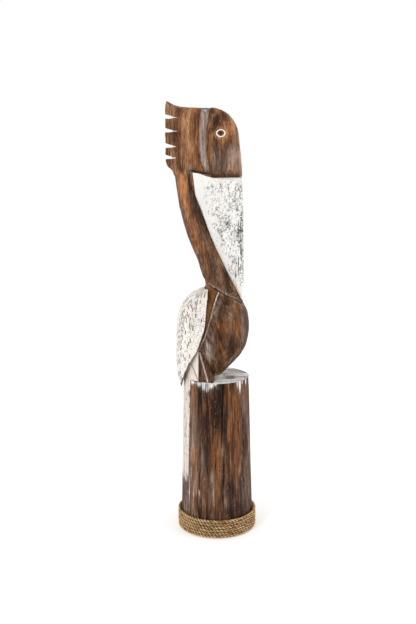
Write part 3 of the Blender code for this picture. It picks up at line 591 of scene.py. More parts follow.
def post_look(p, n):
    x, y, z = p.T
    radius = np.hypot(x, y)
    turn = np.degrees(np.arctan2(x, -y))
    side = smooth(0.75, 0.45, np.abs(n[:, 2])) * smooth(38, 42, radius)
    top = smooth(0.6, 0.85, n[:, 2]) * smooth(219.5, 221.5, z)
    cut = crack_cut(p, turn, radius) * side
    grooves = rough(p, (2.6, 2.6, 60), 3)
    coarse = noise(p, (13, 13, 80), 5)
    dents = clamp(noise(p, (3, 3, 5), 8) - 0.62)
    strokes = rough(np.stack([x + 0.22 * y, y - 0.22 * x, z], axis=1), (46, 1.9, 40), 12)
    lift = side * (-0.45 + 0.28 * grooves + 0.35 * coarse - 1.4 * dents) - cut
    lift += top * (-0.25 + 0.22 * strokes)
    warm, dark = post_tone(p, turn, grooves)
    dark = np.maximum(dark, smooth(0.25, 0.9, cut)) * side
    shred = smooth(0.12, 0.42, rough(p, (1.6, 1.6, 30), 30))
    left = smooth(-22, -32, turn) * smooth(-78, -60, turn)
    wash = post_wash(p, turn, shred, left)
    drift = 2.5 * noise(p, (9, 9, 30), 32)
    # Painted reflections: grey patches on the glossy log, which also lift the dark stain under them.
    for azimuth, half, level, reach, strength in POST_SHEEN_PATCHES:
        patch = strength * np.exp(-((around(turn, azimuth) + drift) / half) ** 2)
        patch = patch * bump(z, level, reach) * (0.75 + 0.5 * grooves)
        wash = np.maximum(wash, patch)
        dark *= 1 - 0.6 * clamp(patch)
    wash *= 1 - 0.6 * smooth(0.3, 0.9, cut)
    paint = 0.5 * shred * left * smooth(160, 120, z) * smooth(34, 60, z)
    paint = np.maximum(paint, post_drips(p, turn))
    wash = np.maximum(wash, 0.9 * paint)
    paint *= side * (0.76 + 0.20 * noise(p, (1.6, 1.6, 9), 28))
    face, lines = post_top(p, radius, strokes)
    coat = coat_of(len(p), paint + top * face, wash + top * 0.75, warm * side, dark + top * lines)
    return lift, coat


# Lines drawn on the head and neck: (height, X), but (X, height) for the chin and the filler.
COVE_BACK = [(500, -18.6), (510.6, -18.6), (518.6, -22.7), (536, -26), (562, -25.3), (591, -24)]
COVE_FRONT = [(500, -11.8), (514.6, -11.8), (536, -15.2), (562, -15.2), (591, -10.5)]
NECK_RIDGE = [
    (348.8, 11.3), (362.3, 1.8), (386.9, -9.2), (416.3, -20), (443.5, -29.3), (470.2, -37.3),
    (499.3, -41.3), (512.4, -42.6),
]
HEAD_FRONT = [(500, 31), (560, 29), (590, 12)]
CHIN_LINE = [(-36, 509.5), (-25, 505.5), (-16, 501.5), (-6, 499.5), (32, 500)]
FILLER_LINE = [
    (-17, 357), (-1.7, 351.4), (4.3, 347.6), (10.4, 344.2), (16.4, 340.6), (22.6, 336.6), (28.8, 332.4),
    (35.2, 327.6),
]
EYE = (3.6, 558)
EYE_HALF = (6.4, 5.1)
NOTCHES = [357, 339, 319, 304]  # heights over the perch
NOTCH_BACK = -74.6  # where the notches open, and how far they reach in from there
NOTCH_REACH = 21.0


def eye_marks(x, z):
    """Distance from the eye's middle in eye widths, its pale ring, the ball within, and the pupil."""
    ex, ez = (x - EYE[0]) / EYE_HALF[0], (z - EYE[1]) / EYE_HALF[1]
    eye = np.hypot(ex, ez)
    ring = np.exp(-((eye - 0.88) / 0.14) ** 4)
    pupil = smooth(0.58, 0.36, np.hypot(ex + 0.05, (ez + 0.02) * 1.2))
    return eye, ring, smooth(0.72, 0.55, eye), pupil


def notch_marks(p, n, outer):
    """The floors of the notches behind the head, and their mouths on its sides."""
    x, y, z = p.T
    share = clamp((x - NOTCH_BACK) / NOTCH_REACH)
    dip = 0.8 - 2.6 * np.sin(math.pi * (0.05 + 0.5 * share))
    half = 3.4 * (1 - share) ** 1.4
    notch, mouth = np.zeros(len(p)), np.zeros(len(p))
    for level in NOTCHES:
        notch = np.maximum(notch, bump(z, PERCH + level - 1, 4.2))
        mouth = np.maximum(mouth, smooth(half + 0.5, half - 0.3, np.abs(z - PERCH - level - dip)))
    notch *= smooth(0.45, 0.7, np.abs(n[:, 2])) * smooth(-53, -55, x) * smooth(18.5, 16.5, np.abs(y))
    shown = smooth(-52.6, -54.6, x) * outer
    return notch, 0.95 * mouth * shown


def head_warmth_and_highlight(p, ridge, on_neck, outer, eye):
    """Where the head and neck are rubbed back to warm wood, with a painted highlight along the neck behind
    its ridge.
    """
    x, _, z = p.T
    on_head = 1 - on_neck
    # Painted highlight: a bright warm line along the neck behind its ridge, a stronger spot near its top and
    # a fainter run lower down.
    neck_highlight = bump(x, ridge - 7, 6) * on_neck * smooth(440, 486, z) * smooth(512, 496, z)
    low_neck_highlight = bump(x, ridge - 8, 7) * on_neck * smooth(500, 420, z) * 0.28
    patches = clamp(rough(p, (10, 20, 22), 110) - 0.05)
    warm = 1.4 * neck_highlight + 1.1 * bump(x, ridge - 6, 4) * bump(z, 487, 14) + low_neck_highlight
    warm += 0.7 * patches * on_head + 0.5 * patches * on_neck
    warm += 0.25 * bump(x, -36, 12) * on_head
    warm += 0.55 * bump(eye, 1.35, 0.42) * outer
    return warm + spots(x, z, [(0.7, 20, 12, 566, 14), (0.5, 22, 6, 505, 9)])


def head_wash(p, ridge, on_neck, outer, inside, streaks):
    """Where the head and neck are washed grey, with painted highlights in the cove between crest and cheek
    and low on the front of the cheek.
    """
    x, y, z = p.T
    on_head = 1 - on_neck
    # Painted highlight: the cove's wall is laid pale, as if catching the light.
    wash = 1.5 * inside * (0.85 + 0.5 * streaks)
    low_cheek = smooth(548, 530, z) * on_head * smooth(-12, -4, x)
    wash += 0.45 * smooth(0.1, 0.6, rough(p, (3, 10, 26), 111)) * low_cheek
    # Painted highlight: a pale streaky patch low on the front of the cheek.
    wash += 1.1 * bump(x, 22 + 2 * streaks, 6) * bump(z, 527, 19) * outer * (0.7 + 0.5 * streaks)
    wash += 0.35 * low_cheek * (0.5 + 0.5 * streaks)
    wash += 0.8 * bump(x, -37.5, 3) * bump(z, 513, 6)
    wash += 0.35 * bump(x, ridge + 3.5, 2.2) * on_neck * smooth(330, 400, z)
    slope = np.stack([x + 0.45 * z, y, z * 0.9], axis=1)
    scratches = smooth(0.05, 0.4, rough(slope, (1.6, 8, 24), 122))
    neck_band = smooth(366, 384, z) * smooth(430, 410, z)
    wash += 1.3 * scratches * bump(x - ridge, 15, 10) * neck_band
    wash += 0.3 * clamp(rough(p, (4, 10, 30), 112)) * on_neck
    return wash + 0.5 * bump(x, across(z, HEAD_FRONT), 2) * on_head


def head_dark(p, ridge, on_neck, outer, inside, facet, streaks):
    """Where the head and neck are darkened: stain, and painted shade on the neck's front facet."""
    x, _, z = p.T
    on_head = 1 - on_neck
    # Painted shade: the neck's front facet, turned away from the light, is darkened, more so higher up.
    dark = facet * (0.50 + 0.55 * smooth(400, 450, z)) * (0.85 + 0.3 * noise(p, (5, 5, 30), 113))
    dark += 0.8 * smooth(440, 376, z) * on_neck * (0.6 + 0.6 * streaks) * (1 - facet)
    dark += 0.4 * bump(x, ridge - 17, 6) * on_neck * smooth(400, 470, z) * (0.7 + 0.5 * streaks)
    dark += 0.55 * bump(x, -4, 9) * bump(z, 578, 11) * on_head * outer
    blots = clamp(rough(p, (5, 14, 11), 114) - 0.05)
    cheek = smooth(-16, -8, x) * on_head
    dark += (1.2 * cheek * smooth(530, 560, z) + 0.5) * blots * (1 - 0.8 * inside)
    dark += 0.5 * bump(x, -64, 8) * (0.6 + 0.5 * rough(p, (4, 14, 9), 121)) * on_head
    return dark + 0.3 * bump(z, 512, 7) * bump(x, -40, 10)


def head_look(p, n):
    x, _, z = p.T
    outer = smooth(0.35, 0.7, np.abs(n[:, 1]))
    on_neck = smooth(512, 500, z)
    on_head = 1 - on_neck
    back, front = across(z, COVE_BACK), across(z, COVE_FRONT)
    half = (front - back) / 2.0
    middle = (front + back) / 2.0
    inside = clamp(1 - ((x - middle) / half) ** 2) * on_head * outer
    crease = bump(x, back, 1.5) * on_head * outer * smooth(588, 560, z)
    edge = bump(x, front, 1.2) * on_head * outer * smooth(508, 514, z)
    eye, ring, within, pupil = eye_marks(x, z)
    ring, within, pupil = ring * outer, within * outer, pupil * outer
    notch, mouth = notch_marks(p, n, outer)
    ridge = across(z, NECK_RIDGE)
    facet = smooth(ridge - 0.4, ridge + 2.4, x) * on_neck * outer
    crest_line = bump(x, ridge - 0.9, 1.7) * on_neck * outer
    d, _ = line_distance(x, z, FILLER_LINE)
    filler = bump(d, 0, 2.6) * (0.7 + 0.4 * noise(p, (6, 6, 6), 123))
    bottom = np.exp(-((z - across(x, CHIN_LINE)) / 2.2) ** 2) * on_head * smooth(-40, -32, x)

    grooves = rough(p, (1.9, 1.9, 40), 103)
    marks = scoops(p, (12, 30, 24), 104)
    lift = -0.25 + 0.14 * grooves + 0.35 * marks * (1 - inside)
    lift -= 0.7 * inside + 0.5 * crease + 0.25 * edge
    lift -= 0.45 * ring + 0.25 * pupil - 0.2 * within + 0.8 * mouth * smooth(-58, -54, x)
    lift -= 1.3 * facet * (1 - smooth(0, 14, x - ridge) * 0.45)
    lift += filler * (0.5 + 0.7 * noise(p, (2.2, 2.2, 2.2), 108))
    lift += 0.18 * rough(p, (9, 20, 9), 106)

    streaks = rough(p, (2.4, 12, 22), 120)
    warm = head_warmth_and_highlight(p, ridge, on_neck, outer, eye)
    wash = head_wash(p, ridge, on_neck, outer, inside, streaks)
    wash += 1.2 * filler + 0.6 * crest_line * smooth(400, 350, z)
    dark = head_dark(p, ridge, on_neck, outer, inside, facet, streaks)
    # Painted shade in the crease and in the groove at the cove's front, and a painted shadow along the chin
    # where the head overhangs the bill; the pupil is dark paint.
    dark += 0.25 * crease + 0.12 * edge + 0.8 * bottom + 0.95 * pupil
    crumbs = smooth(0.1, 0.5, noise(p, (2, 2, 2), 115))
    dark *= (1 - 0.85 * ring) * (1 - np.maximum(notch, mouth)) * (1 - 0.6 * bottom * crumbs)
    paint = np.maximum(np.maximum(0.95 * ring, 0.95 * notch), 0.85 * mouth)
    # Thin white streaks over the cove, as part of its painted highlight.
    paint = np.maximum(paint, 0.36 * inside * (0.8 + 0.5 * streaks))
    paint = np.maximum(paint, (0.5 * filler + 0.55 * bottom) * crumbs)
    return lift, coat_of(len(p), paint, wash, warm, dark)


BILL_TOP_LINE = [(-40, 509), (-36, 508.6), (-25.4, 504.9), (-15.9, 501.3), (-6.4, 498.9), (40, 499.6)]
# The bill's edges: height, place along X.
BILL_BACK = [
    (334, 30), (360, 17), (387, 5), (414, -7), (439, -16), (462, -24), (483, -32), (507, -36)
]
BILL_FRONT = [(334, 34), (387, 36.6), (439, 35.5), (506, 33.4)]
# Long splits near the bill's front edge: place along X, lowest and highest point.
BILL_SPLITS = [(31.5, 356, 470), (28.5, 344, 440), (33.8, 380, 452), (24.5, 350, 398)]


def pits(p, size, seed, share):
    """Small gouged specks, of which this share shows: 1 in the middle of each, 0 outside."""
    d, tag = nearest(p + [0, 0, 37], size, seed)
    number = np.floor(tag * 4096).astype(np.int64)[:, None] * [1, 2, 3]
    strength = 0.45 + 0.55 * (scatter(number, 5) * 0.5 + 0.5)
    return smooth(0.50, 0.22, d) * (tag * 0.5 + 0.5 < share) * strength


def dashes_in_columns(x, z, pitch, length, seed, share):
    """Short upright cuts in rows side by side, of which this share shows: 1 in the middle of each."""
    wander = 0.25 * np.sin(z * 0.11 + seed)
    column = np.floor(x / pitch + wander)
    spot = np.abs(x / pitch + wander - column - 0.5) * pitch
    stack = np.stack([column, column * 0, column * 0], axis=1).astype(np.int64)
    level = z / length + 7.3 * scatter(stack, seed)
    row = np.floor(level)
    cell = np.stack([column, row, row * 0], axis=1).astype(np.int64)
    shown = scatter(cell, seed + 1) * 0.5 + 0.5 < share
    reach = 0.30 + 0.16 * scatter(cell, seed + 2)
    return smooth(1.05, 0.5, spot) * smooth(reach + 0.08, reach, np.abs(level - row - 0.5)) * shown


def bill_look(p, n):
    x, y, z = p.T
    outer = smooth(0.3, 0.6, np.abs(n[:, 1]))
    front = smooth(0.3, 0.6, n[:, 0])
    back = across(z, BILL_BACK)
    share = (x - back) / np.maximum(across(z, BILL_FRONT) - back, 1)
    middle = smooth(0.10, 0.36, share) * smooth(500, 484, z) * smooth(338, 372, z)
    density = middle * (0.40 + 0.34 * noise(p, (9, 30, 12), 201))
    density += 0.30 * bump(x, 10, 15) * bump(z, 440, 28)
    density += 0.30 * smooth(0.72, 0.95, share) * smooth(470, 440, z)
    density = np.clip(density, 0, 0.8)
    squeezed = p * [1, 0.3, 1] + [160, 0, 0] * (y > 0)[:, None]
    fine = noise(squeezed, (1.15, 9, 1.6), 212) + 0.4 * noise(squeezed, (0.8, 9, 1), 213)
    specks = smooth(0, 0.3, fine - 0.80 + 0.85 * density)
    small = pits(squeezed, (1.9, 2.3), 220, density * 0.5)
    ticks = pits(squeezed, (1.9, 6), 230, density * 0.5)
    marks = np.maximum(np.maximum(specks, 0.8 * small), ticks)
    splits = np.zeros(len(p))
    for k, (at, low, high) in enumerate(BILL_SPLITS):
        drift = 0.8 * noise(p * [0, 0, 1], (1, 1, 16), 240 + k)
        broken = smooth(-0.3, 0.3, noise(p * [0, 0, 1] + [9 * k, 0, 0], (1, 1, 9), 250 + k))
        reach = smooth(low - 5, low + 10, z) * smooth(high + 5, high - 12, z)
        splits = np.maximum(splits, bump(x, at + drift, 1) * reach * broken)
    places = 0.75 * middle + spots(x, z, [(1, -15, 9, 486, 8), (1.2, 6, 11, 448, 11)])
    blots = smooth(0.16, 0.42, rough(squeezed, (4.4, 4.4, 6), 211)) * clamp(places) * outer
    grooves = rough(p, (1.6, 1.6, 30), 203)
    smudge = clamp(rough(squeezed, (4, 4, 7), 204) - 0.12) * middle * 1.3
    head_edge = smooth(-0.6, 1.4, z - across(x, BILL_TOP_LINE))
    back_edge = smooth(2.4, 0.4, x - back) * outer
    lift = -0.2 + 0.10 * grooves - 0.35 * blots - 0.55 * marks * outer - 0.9 * splits * outer - 0.25 * front
    lift += 0.12 * rough(p, (7, 20, 10), 205)
    paint = 0.93 - 0.85 * head_edge - 0.32 * smudge - 0.30 * back_edge - 0.25 * blots
    paint -= 0.15 * front * smooth(0, 0.5, noise(p, (2, 2, 14), 206))
    corner = smooth(3.4, 1.2, x + 36.5 - 0.12 * (509 - z)) * smooth(458, 496, z)
    paint -= 0.9 * corner
    dark = 0.86 * marks * outer + 0.9 * splits * outer + 0.30 * smudge + 0.42 * blots
    # Under the head the bill's top is a brown band, darkened further as a painted shadow of the head's
    # overhang.
    dark += 0.65 * head_edge + 0.4 * corner
    dark += 0.275 * bump(z, 488, 7) * bump(x, 31.5, 1.6)
    wash = 0.6 * smudge + 0.25 * clamp(rough(p, (3, 3, 18), 207))
    return lift, coat_of(len(p), paint, wash, 0.6 * head_edge + 0.7 * back_edge, dark)


WING_LEDGE = [(-19, 293.7), (-23.6, 277.4), (-29.7, 262.2), (-38.8, 246.9), (-45.8, 229.6), (-51, 211)]
# The wing's back edge: height, place along X.
WING_BACK = [(198, -50), (214, -54), (244, -58), (288, -58), (322, -51.5), (341, -36), (349, -16)]


def wing_look(p, n):
    x, y, z = p.T
    out = smooth(0.15, 0.5, np.abs(n[:, 1])) * np.where(np.sign(n[:, 1]) == np.sign(y), 1, 0)
    behind = smooth(0.2, 0.6, -n[:, 0])
    shown = np.maximum(out, behind)
    back = across(z, WING_BACK)
    angle = np.arctan2(x + 10, np.abs(y) + 8)
    rows = np.stack([angle * 52 + 260 * (y > 0), np.hypot(x + 10, y) * 0.2, z], axis=1)
    columns = smooth(26, 14, x - back)
    fleck_area = smooth(12, 24, x - back) * bump(z, 306, 38)
    patchy = noise(rows, (9, 20, 30), 301)
    dashes = dashes_in_columns(rows[:, 0], z, 2.9, 8.5, 310, (0.42 + 0.35 * patchy) * columns + 0.03)
    short = pits(rows, (1.7, 3.2), 320, 0.16 * columns + 0.36 * fleck_area + 0.10 * patchy)
    tiny = pits(rows, (1.5, 2.2), 330, 0.12 + 0.30 * fleck_area)
    marks = np.maximum(np.maximum(dashes, 0.9 * short), 0.7 * tiny)
    grooves = rough(rows, (1.7, 3, 36), 303)
    facets = scoops(rows, (7, 9, 30), 304)
    lift = -0.22 + 0.16 * grooves + 0.3 * facets * shown - 0.6 * marks * shown
    smear = clamp(rough(rows, (2.6, 4, 22), 305) - 0.05)
    inner = 1 - shown
    edge, _ = line_distance(x, z, WING_LEDGE)
    rim = smooth(2.1, 0.9, edge + 0.5 * noise(rows, (3, 3, 5), 308)) * smooth(300, 290, z)
    foot = smooth(272, 226, z) * (0.6 + 0.6 * noise(rows, (3, 5, 20), 307))
    paint = 0.92 - 0.20 * smear - 0.35 * inner - 0.24 * foot - 0.7 * rim
    ledge = smooth(0.3, 0.8, n[:, 0]) * smooth(0.5, 0.2, np.abs(n[:, 1]))
    dark = 0.95 * marks * shown + 0.10 * smear + 0.85 * ledge + 0.10 * foot + 0.35 * rim
    dark += 0.35 * inner * smooth(0.2, 0.7, noise(p, (5, 5, 12), 306))
    wash = 0.5 * smear + 0.3
    return lift, coat_of(len(p), paint, wash, 0.2, dark)


# The pale carved line in front of each wing's brown band.
BAND_LINE = [
    (5, 353), (2.8, 348.8), (-1, 340.3), (-4.1, 331.9), (-7.1, 321.6), (-10, 311.1), (-14.1, 297.3),
    (-18.3, 284.7), (-23.7, 273.2), (-25.2, 266.5),
]


# Washed, warm and dark places on the body, in the rows that spots() reads.
# Of the pale rows that follow, the one at height 320 is a painted highlight.
BODY_WASH_AND_SHEEN = [(1.7, -11, 8, 273, 24), (0.8, 19, 5, 320, 13), (0.5, 36, 6, 292, 40)]
BODY_WARMED = [(0.75, 10, 9, 297, 17), (0.7, 28, 9, 297, 20)]
# Of the dark rows that follow, the one at height 268 is painted shade low on the belly.
BODY_DARKENED = [
    (0.75, 20, 11, 268, 15), (0.65, 3.5, 7, 291, 15), (0.3, 3, 13, 338, 12),
    (0.35, 8, 12, 324, 18), (0.6, 18, 12, 284, 16), (0.4, 8, 20, 293, 30),
]


def body_look(p, n):
    x, y, z = p.T
    outer = smooth(0.25, 0.6, np.abs(n[:, 1]))
    d, along = line_distance(x, z, BAND_LINE)
    ahead = across(z, [(level, at) for at, level in reversed(BAND_LINE)])
    band = smooth(0.5, -1.5, x - ahead) * outer * smooth(236, 250, z)
    line = bump(d, 0, 1.5) * outer
    f, _ = line_distance(x, z, FILLER_LINE)
    filler = bump(f, 0, 2.8) * (0.7 + 0.4 * noise(p, (6, 6, 6), 411))
    facets = scoops(p, (15, 22, 15), 401)
    flow = np.stack([x + 0.35 * (z - 280), y, z - 0.35 * x], axis=1)
    grooves = rough(flow, (2, 2, 18), 402)
    lift = -0.25 + 0.14 * grooves + 0.55 * facets * (1 - band) - 0.5 * band + 0.35 * line
    lift += filler * (0.3 + 0.8 * noise(p, (2.2, 2.2, 2.2), 403)) + 0.2 * rough(p, (12, 12, 12), 404)
    bare = 1 - band
    patches = clamp(rough(flow, (4, 12, 24), 405) - 0.05)
    warm = 0.8 * patches * smooth(232, 250, z) * bare + 0.75 * band
    warm += spots(x, z, BODY_WARMED) * bare + 0.5 * bump(x, 26, 8) * bump(z, 325, 10)
    ragged = 0.55 + 0.7 * noise(flow, (3, 5, 9), 406)
    wash = (spots(x, z, BODY_WASH_AND_SHEEN) + 0.6 * bump(x, ahead + 5, 5) * smooth(290, 306, z)) * ragged
    wash += 0.35 * smooth(0.1, 0.7, rough(flow, (4, 8, 16), 407))
    wash = wash * bare + 0.75 * line + 0.8 * filler + 0.5 * smooth(232, 226, z)
    dark = spots(x, z, BODY_DARKENED)
    # Painted shade: the belly darkens toward its lower right.
    dark += 0.3 * smooth(8, 36, x) * smooth(284, 250, z)
    dark += 0.8 * clamp(rough(flow, (2.6, 9, 22), 408) - 0.05)
    dark += 0.5 * smooth(30, 41, x) * smooth(330, 300, z)
    dark = dark * bare * (1 - 0.6 * clamp(warm)) + (0.5 * bump(x, ahead - 2, 1.6) + 0.22) * band
    dark *= (1 - 0.8 * line) * (1 - 0.7 * filler)
    paint = 0.34 * line + 0.16 * line * smooth(0.6, 0.2, along)
    streaky = clamp(0.5 + 0.9 * noise(flow, (1.8, 4, 12), 412))
    paint += 0.42 * bump(x, -13, 9) * bump(z, 272, 24) * streaky * bare
    paint += 0.6 * smooth(229, 224.5, z) * smooth(-30, 0, x)
    paint += 0.35 * filler * smooth(0, 0.5, noise(p, (2, 2, 2), 410))
    return lift, coat_of(len(p), paint, wash, warm, dark)


LEG_RIDGES = [
    [(224, -13.6), (242.4, -18.4), (262, -24)],
    [(224, -0.5), (235.9, -5), (245, -10), (254, -15.6)],
]


def leg_look(p, n):
    x, y, z = p.T
    outer = smooth(0.2, 0.6, np.abs(n[:, 1]))
    line = np.zeros(len(p))
    for ridge, half in zip(LEG_RIDGES, (1.9, 1.3)):
        line = np.maximum(line, bump(x, across(z, ridge), half))
    past_first, past_second = (x - across(z, ridge) for ridge in LEG_RIDGES)
    first = smooth(-0.8, -2.4, past_first)
    second = smooth(0.6, 2.2, past_first) * smooth(0, -1.4, past_second)
    third = smooth(-0.2, 1, past_second)
    lift = -0.2 + 0.3 * line * outer - 0.7 * np.maximum(first, second) * outer
    lift += 0.1 * rough(p, (1.6, 1.6, 16), 501)
    dark = (0.42 * first + 0.85 * second) * (0.75 + 0.4 * noise(p, (2, 2, 14), 502)) * (1 - line)
    wash = 0.9 * line + 0.55 * third + 0.35 * clamp(rough(p, (2.4, 2.4, 20), 503))
    warm = 0.3 * first * smooth(0, 0.5, noise(p, (2, 2, 16), 504))
    return lift, coat_of(len(p), 0.42 * line + 0.2 * third, wash, warm, dark)


TAIL_SCRIBE = [(-36.4, 246), (-27.4, 226)]


def tail_look(p, n):
    x, y, z = p.T
    upper = smooth(219, 225, z)
    grooves = rough(p, (1.7, 1.7, 34), 601)
    dashes = dashes_in_columns(y - 0.7 * x, z, 2.3, 9, 610, 0.34 + 0.3 * noise(p, (8, 8, 30), 602))
    lift = -0.2 + 0.12 * grooves - 0.5 * dashes * (1 - upper)
    lift -= 0.15 * upper * (1 - scoops(p, (9, 9, 16), 603))
    ragged = z + 15 * rough(p, (2, 2, 22), 604)
    bare = smooth(90, 64, ragged)
    scribe, _ = line_distance(x, z, TAIL_SCRIBE)
    scribed = bump(scribe, 0, 1.1) * smooth(0.2, 0.6, np.abs(n[:, 1])) * upper
    lift -= 0.4 * scribed
    smear = clamp(rough(p, (2.4, 2.4, 24), 605))
    paint = 0.86 - 0.95 * bare - 0.40 * smear * (1 - 0.5 * upper) + 0.04 * upper
    dark = (0.7 * dashes * (1 - bare) + 0.30 * smear) * (1 - upper) + 0.8 * scribed + 0.55 * bare
    return lift, coat_of(len(p), paint, 0.4 + 0.4 * smear, 0.2, dark)


# ---- rope ----

def rope_level(turn):
    """Height of the rope's centre line: level, with a short climb at the end of each turn."""
    whole = np.floor(turn)
    return ROPE_FIRST + ROPE_PITCH * (whole + smooth(1.0 - ROPE_STEP, 1.0, turn - whole))


def tubes(name, centre, along, radius, sides, extra=None):
    """Meshes one tube round each of several centre lines: centre and along are (tubes, steps, 3)."""
    count, steps, _ = centre.shape
    up = np.array([0.0, 0.0, 1.0])
    across_way = directions(np.cross(along, up))
    lift_way = np.cross(across_way, along)
    angle = np.arange(sides) * 2 * math.pi / sides
    ring = across_way[:, :, None] * np.cos(angle)[:, None] + lift_way[:, :, None] * np.sin(angle)[:, None]
    points = centre[:, :, None] + ring * radius[..., None]
    k = np.arange(count * steps * sides).reshape(count, steps, sides)
    a, b = k[:, :-1], k[:, 1:]
    quads = np.stack([a, np.roll(a, -1, axis=2), np.roll(b, -1, axis=2), b], axis=-1).reshape(-1, 4)
    faces = quads.tolist()
    for j in range(count):
        faces.append(k[j, 0, ::-1].tolist())
        faces.append(k[j, -1].tolist())
    me = bpy.data.meshes.new(name)
    me.from_pydata((points.reshape(-1, 3) * MM).tolist(), [], faces)
    me.update()
    for label, values in (extra or {}).items():
        layer = me.attributes.new(label, "FLOAT", "POINT")
        layer.data.foreach_set("value", np.broadcast_to(values, points.shape[:3]).astype(np.float32).ravel())
    return me


def rope_place(turn):
    angle = ROPE_START + turn * 2 * math.pi
    return np.stack([ROPE_RADIUS * np.cos(angle), ROPE_RADIUS * np.sin(angle), rope_level(turn)], axis=-1)


def rope_mesh():
    """Two strands twisted round one another along the wrap, each grooved by its own fibres."""
    lay = 9.7  # length of one full twist
    strand = 1.0  # radius of a strand
    steps = 2600
    sides = 12
    turn = np.linspace(0.0, ROPE_TURNS, steps)
    middle = rope_place(turn)
    out = directions(middle * [1.0, 1.0, 0.0])
    up = np.cross(out, directions(np.gradient(middle, axis=0)))
    length = turn * 2 * math.pi * ROPE_RADIUS
    twist = -length / lay * 2 * math.pi
    lines = []
    for k in (0, 1):
        a = (twist + k * math.pi)[:, None]
        lines.append(middle + (ROPE_HALF - strand) * (out * np.cos(a) + up * np.sin(a)))
    centre = np.stack(lines)
    tangent = directions(np.gradient(centre, axis=1))
    angle = np.arange(sides) * 2 * math.pi / sides
    s = length[None, :, None]
    which = np.arange(2)[:, None, None]
    wound = (angle[None, None] + s * 0.55) * 1.1
    flat = np.stack(np.broadcast_arrays(s * 0.35, wound, which * 9.0), axis=-1).reshape(-1, 3)
    weave = noise(flat, (1.0, 0.8, 1.0), 701).reshape(2, steps, sides)
    wide = noise(flat, (9.0, 4.0, 1.0), 702).reshape(2, steps, sides)
    return centre, tangent, strand * (0.93 + 0.07 * weave), weave, wide, middle


def rope_piece(material):
    centre, tangent, radius, weave, wide, middle = rope_mesh()
    sides = radius.shape[2]
    me = tubes("rope_twisted", centre, tangent, radius, sides, {"fibre": 0.5 + 0.35 * weave + 0.25 * wide})
    co = read(me.vertices, "co", 3).astype(float) / MM
    core = np.repeat(middle[None, :, None], 2, axis=0)
    core = np.broadcast_to(core, (2, core.shape[1], sides, 3)).reshape(-1, 3)
    depth = np.linalg.norm(co - core, axis=1)
    # How deep each point sits between the strands; the rope's painted shade follows it.
    layer = me.attributes.new("hollow", "FLOAT", "POINT")
    layer.data.foreach_set("value", smooth(1.62, 0.95, depth).astype(np.float32))
    low, high = (np.array(v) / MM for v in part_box("rope_wrap"))
    co = np.clip(co, low + BOX_INSET, high - BOX_INSET)
    me.vertices.foreach_set("co", (co * MM).ravel())
    me.update()
    return new_piece("rope_twisted", me, "rope_wrap", material)


HAIRS_LOW = 0.9
HAIRS_HIGH = 26.6


def stray_fibres(material):
    """Short hairs that have worked loose and lie over the wrap."""
    rng = np.random.default_rng(9)
    count, steps = 150, 7
    start = rng.uniform(0.02, ROPE_TURNS - 0.1, count)
    reach = rng.uniform(0.008, 0.03, count) * rng.choice([-1, 1], count)
    t = np.linspace(0.0, 1.0, steps)
    turn = np.clip(start[:, None] + reach[:, None] * t, 0.0, ROPE_TURNS)
    place = rope_place(turn)
    climb = rng.uniform(-2.6, 2.6, count)[:, None] * t + rng.uniform(-1.4, 1.4, count)[:, None]
    bow = 0.5 * np.sin(t * math.pi)[None] * rng.uniform(0.2, 1.0, count)[:, None]
    place = place + directions(place * [1.0, 1.0, 0.0]) * (1.35 + 0.35 * bow)[..., None]
    place[:, :, 2] = np.clip(place[:, :, 2] + climb, HAIRS_LOW, HAIRS_HIGH)
    along = directions(np.gradient(place, axis=1))
    radius = np.broadcast_to((0.11 * (1.0 - 0.6 * t))[None, :, None], (count, steps, 3))
    me = tubes("rope_hairs", place, along, radius, 3, {"fibre": 0.8, "hollow": 0.0})
    return new_piece("rope_hairs", me, None, material)


# ---- assembly ----

# Node, slot, material, mesh step in millimetres, look.
CARVED = [
    ("post", "weathered_log", post_wood, 1.06, post_look),
    ("head_and_neck", "stained_wood", bird_wood, 0.85, head_look),
    ("bill", "whitewashed_wood", bill_paint, 0.65, bill_look),
    ("body", "stained_wood", body_wood, 0.8, body_look),
    ("wing_right", "whitewashed_wood", wing_paint, 0.7, wing_look),
    ("wing_left", "whitewashed_wood", wing_paint, 0.7, wing_look),
    ("tail", "whitewashed_wood", tail_paint, 0.75, tail_look),
    ("leg_right", "stained_wood", leg_wood, 0.6, leg_look),
    ("leg_left", "stained_wood", leg_wood, 0.6, leg_look),
]
for row in CARVED:
    carved(*row)
straw = rope_material()
rope_piece(straw)
stray_fibres(straw)

plain = {"bare_dowel": dowel_material(), "plain_steel": steel_material()}
for entry in frame["record"]["subparts"]:
    if entry["material_slot"] in plain:
        node = frame["nodes"][entry["node"]]
        node.data.materials.clear()
        node.data.materials.append(plain[entry["material_slot"]])


# ---- floor, light and camera ----

ROOM_NEAR = 0.4  # brightness of the room's near side, where its far side has 1
FLOOR_GLOW = 0.24
FLOOR_HALF = 30.0
CAMERA_PLACE = (-0.0132, -1.188, 0.5455)
CAMERA_TILT = 78.95  # degrees; 90 would look level


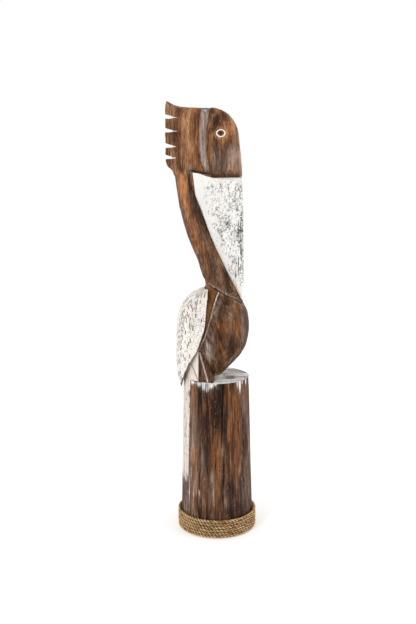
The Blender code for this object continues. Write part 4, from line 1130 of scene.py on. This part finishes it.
def pale_floor():
    g = Graph("pale_floor")
    soft = g.noise((300.0, 300.0, 300.0), 2.0, 0.5)
    base = g.ramp(soft, [(0.3, 0.90), (0.7, 0.92)])
    made = g.finish(base, 0.8, soft, 0.01, specular=0.0)
    shader = next(n for n in g.tree.nodes if n.type == "BSDF_PRINCIPLED")
    shader.inputs["Emission Color"].default_value = (1.0, 1.0, 1.0, 1.0)
    shader.inputs["Emission Strength"].default_value = FLOOR_GLOW
    return made


def flat_floor(half, material):
    me = bpy.data.meshes.new("floor")
    corners = [(-half, -half, 0), (half, -half, 0), (half, half, 0), (-half, half, 0)]
    me.from_pydata(corners, [], [(0, 1, 2, 3)])
    me.materials.append(material)
    ob = placed("floor", me)


def studio_world():
    """A white room that is dimmer on the near side, so that round forms darken towards their middle."""
    world = bpy.data.worlds.new("studio")
    world.use_nodes = True
    tree = world.node_tree
    where = tree.nodes.new("ShaderNodeTexCoord")
    split = tree.nodes.new("ShaderNodeSeparateXYZ")
    reach = tree.nodes.new("ShaderNodeMapRange")
    reach.interpolation_type = "SMOOTHSTEP"
    for key, value in {"From Min": -0.95, "From Max": 0.15, "To Min": ROOM_NEAR, "To Max": 1.0}.items():
        reach.inputs[key].default_value = value
    tree.links.new(where.outputs["Generated"], split.inputs[0])
    tree.links.new(split.outputs[1], reach.inputs["Value"])
    tree.links.new(reach.outputs[0], tree.nodes["Background"].inputs["Strength"])
    tree.nodes["Background"].inputs["Color"].default_value = (1.0, 1.0, 1.0, 1.0)
    return world


def soft_light(name, place, target, size, power):
    data = bpy.data.lights.new(name, "AREA")
    data.shape = "RECTANGLE"
    data.size, data.size_y = size
    data.energy = power
    ob = placed(name, data)
    ob.location = place
    way = np.array(target) - np.array(place)
    ob.rotation_euler = (math.atan2(math.hypot(way[0], way[1]), -way[2]), 0.0, math.atan2(-way[0], way[1]))


flat_floor(FLOOR_HALF, pale_floor())
scene = bpy.context.scene
scene.view_settings.view_transform = "Standard"
scene.world = studio_world()
soft_light("key", (-1.1, -1.6, 1.5), (0, 0, 0.35), (0.7, 0.7), 14.0)
soft_light("fill", (1.6, -0.5, 0.8), (0, 0, 0.3), (0.6, 1.4), 6.0)

camera = bpy.data.cameras.new("camera")
camera.lens = 50.0
camera.sensor_width = 36.0
holder = placed("camera", camera)
holder.location = CAMERA_PLACE
holder.rotation_euler = (math.radians(CAMERA_TILT), 0.0, 0.0)
scene.camera = holder
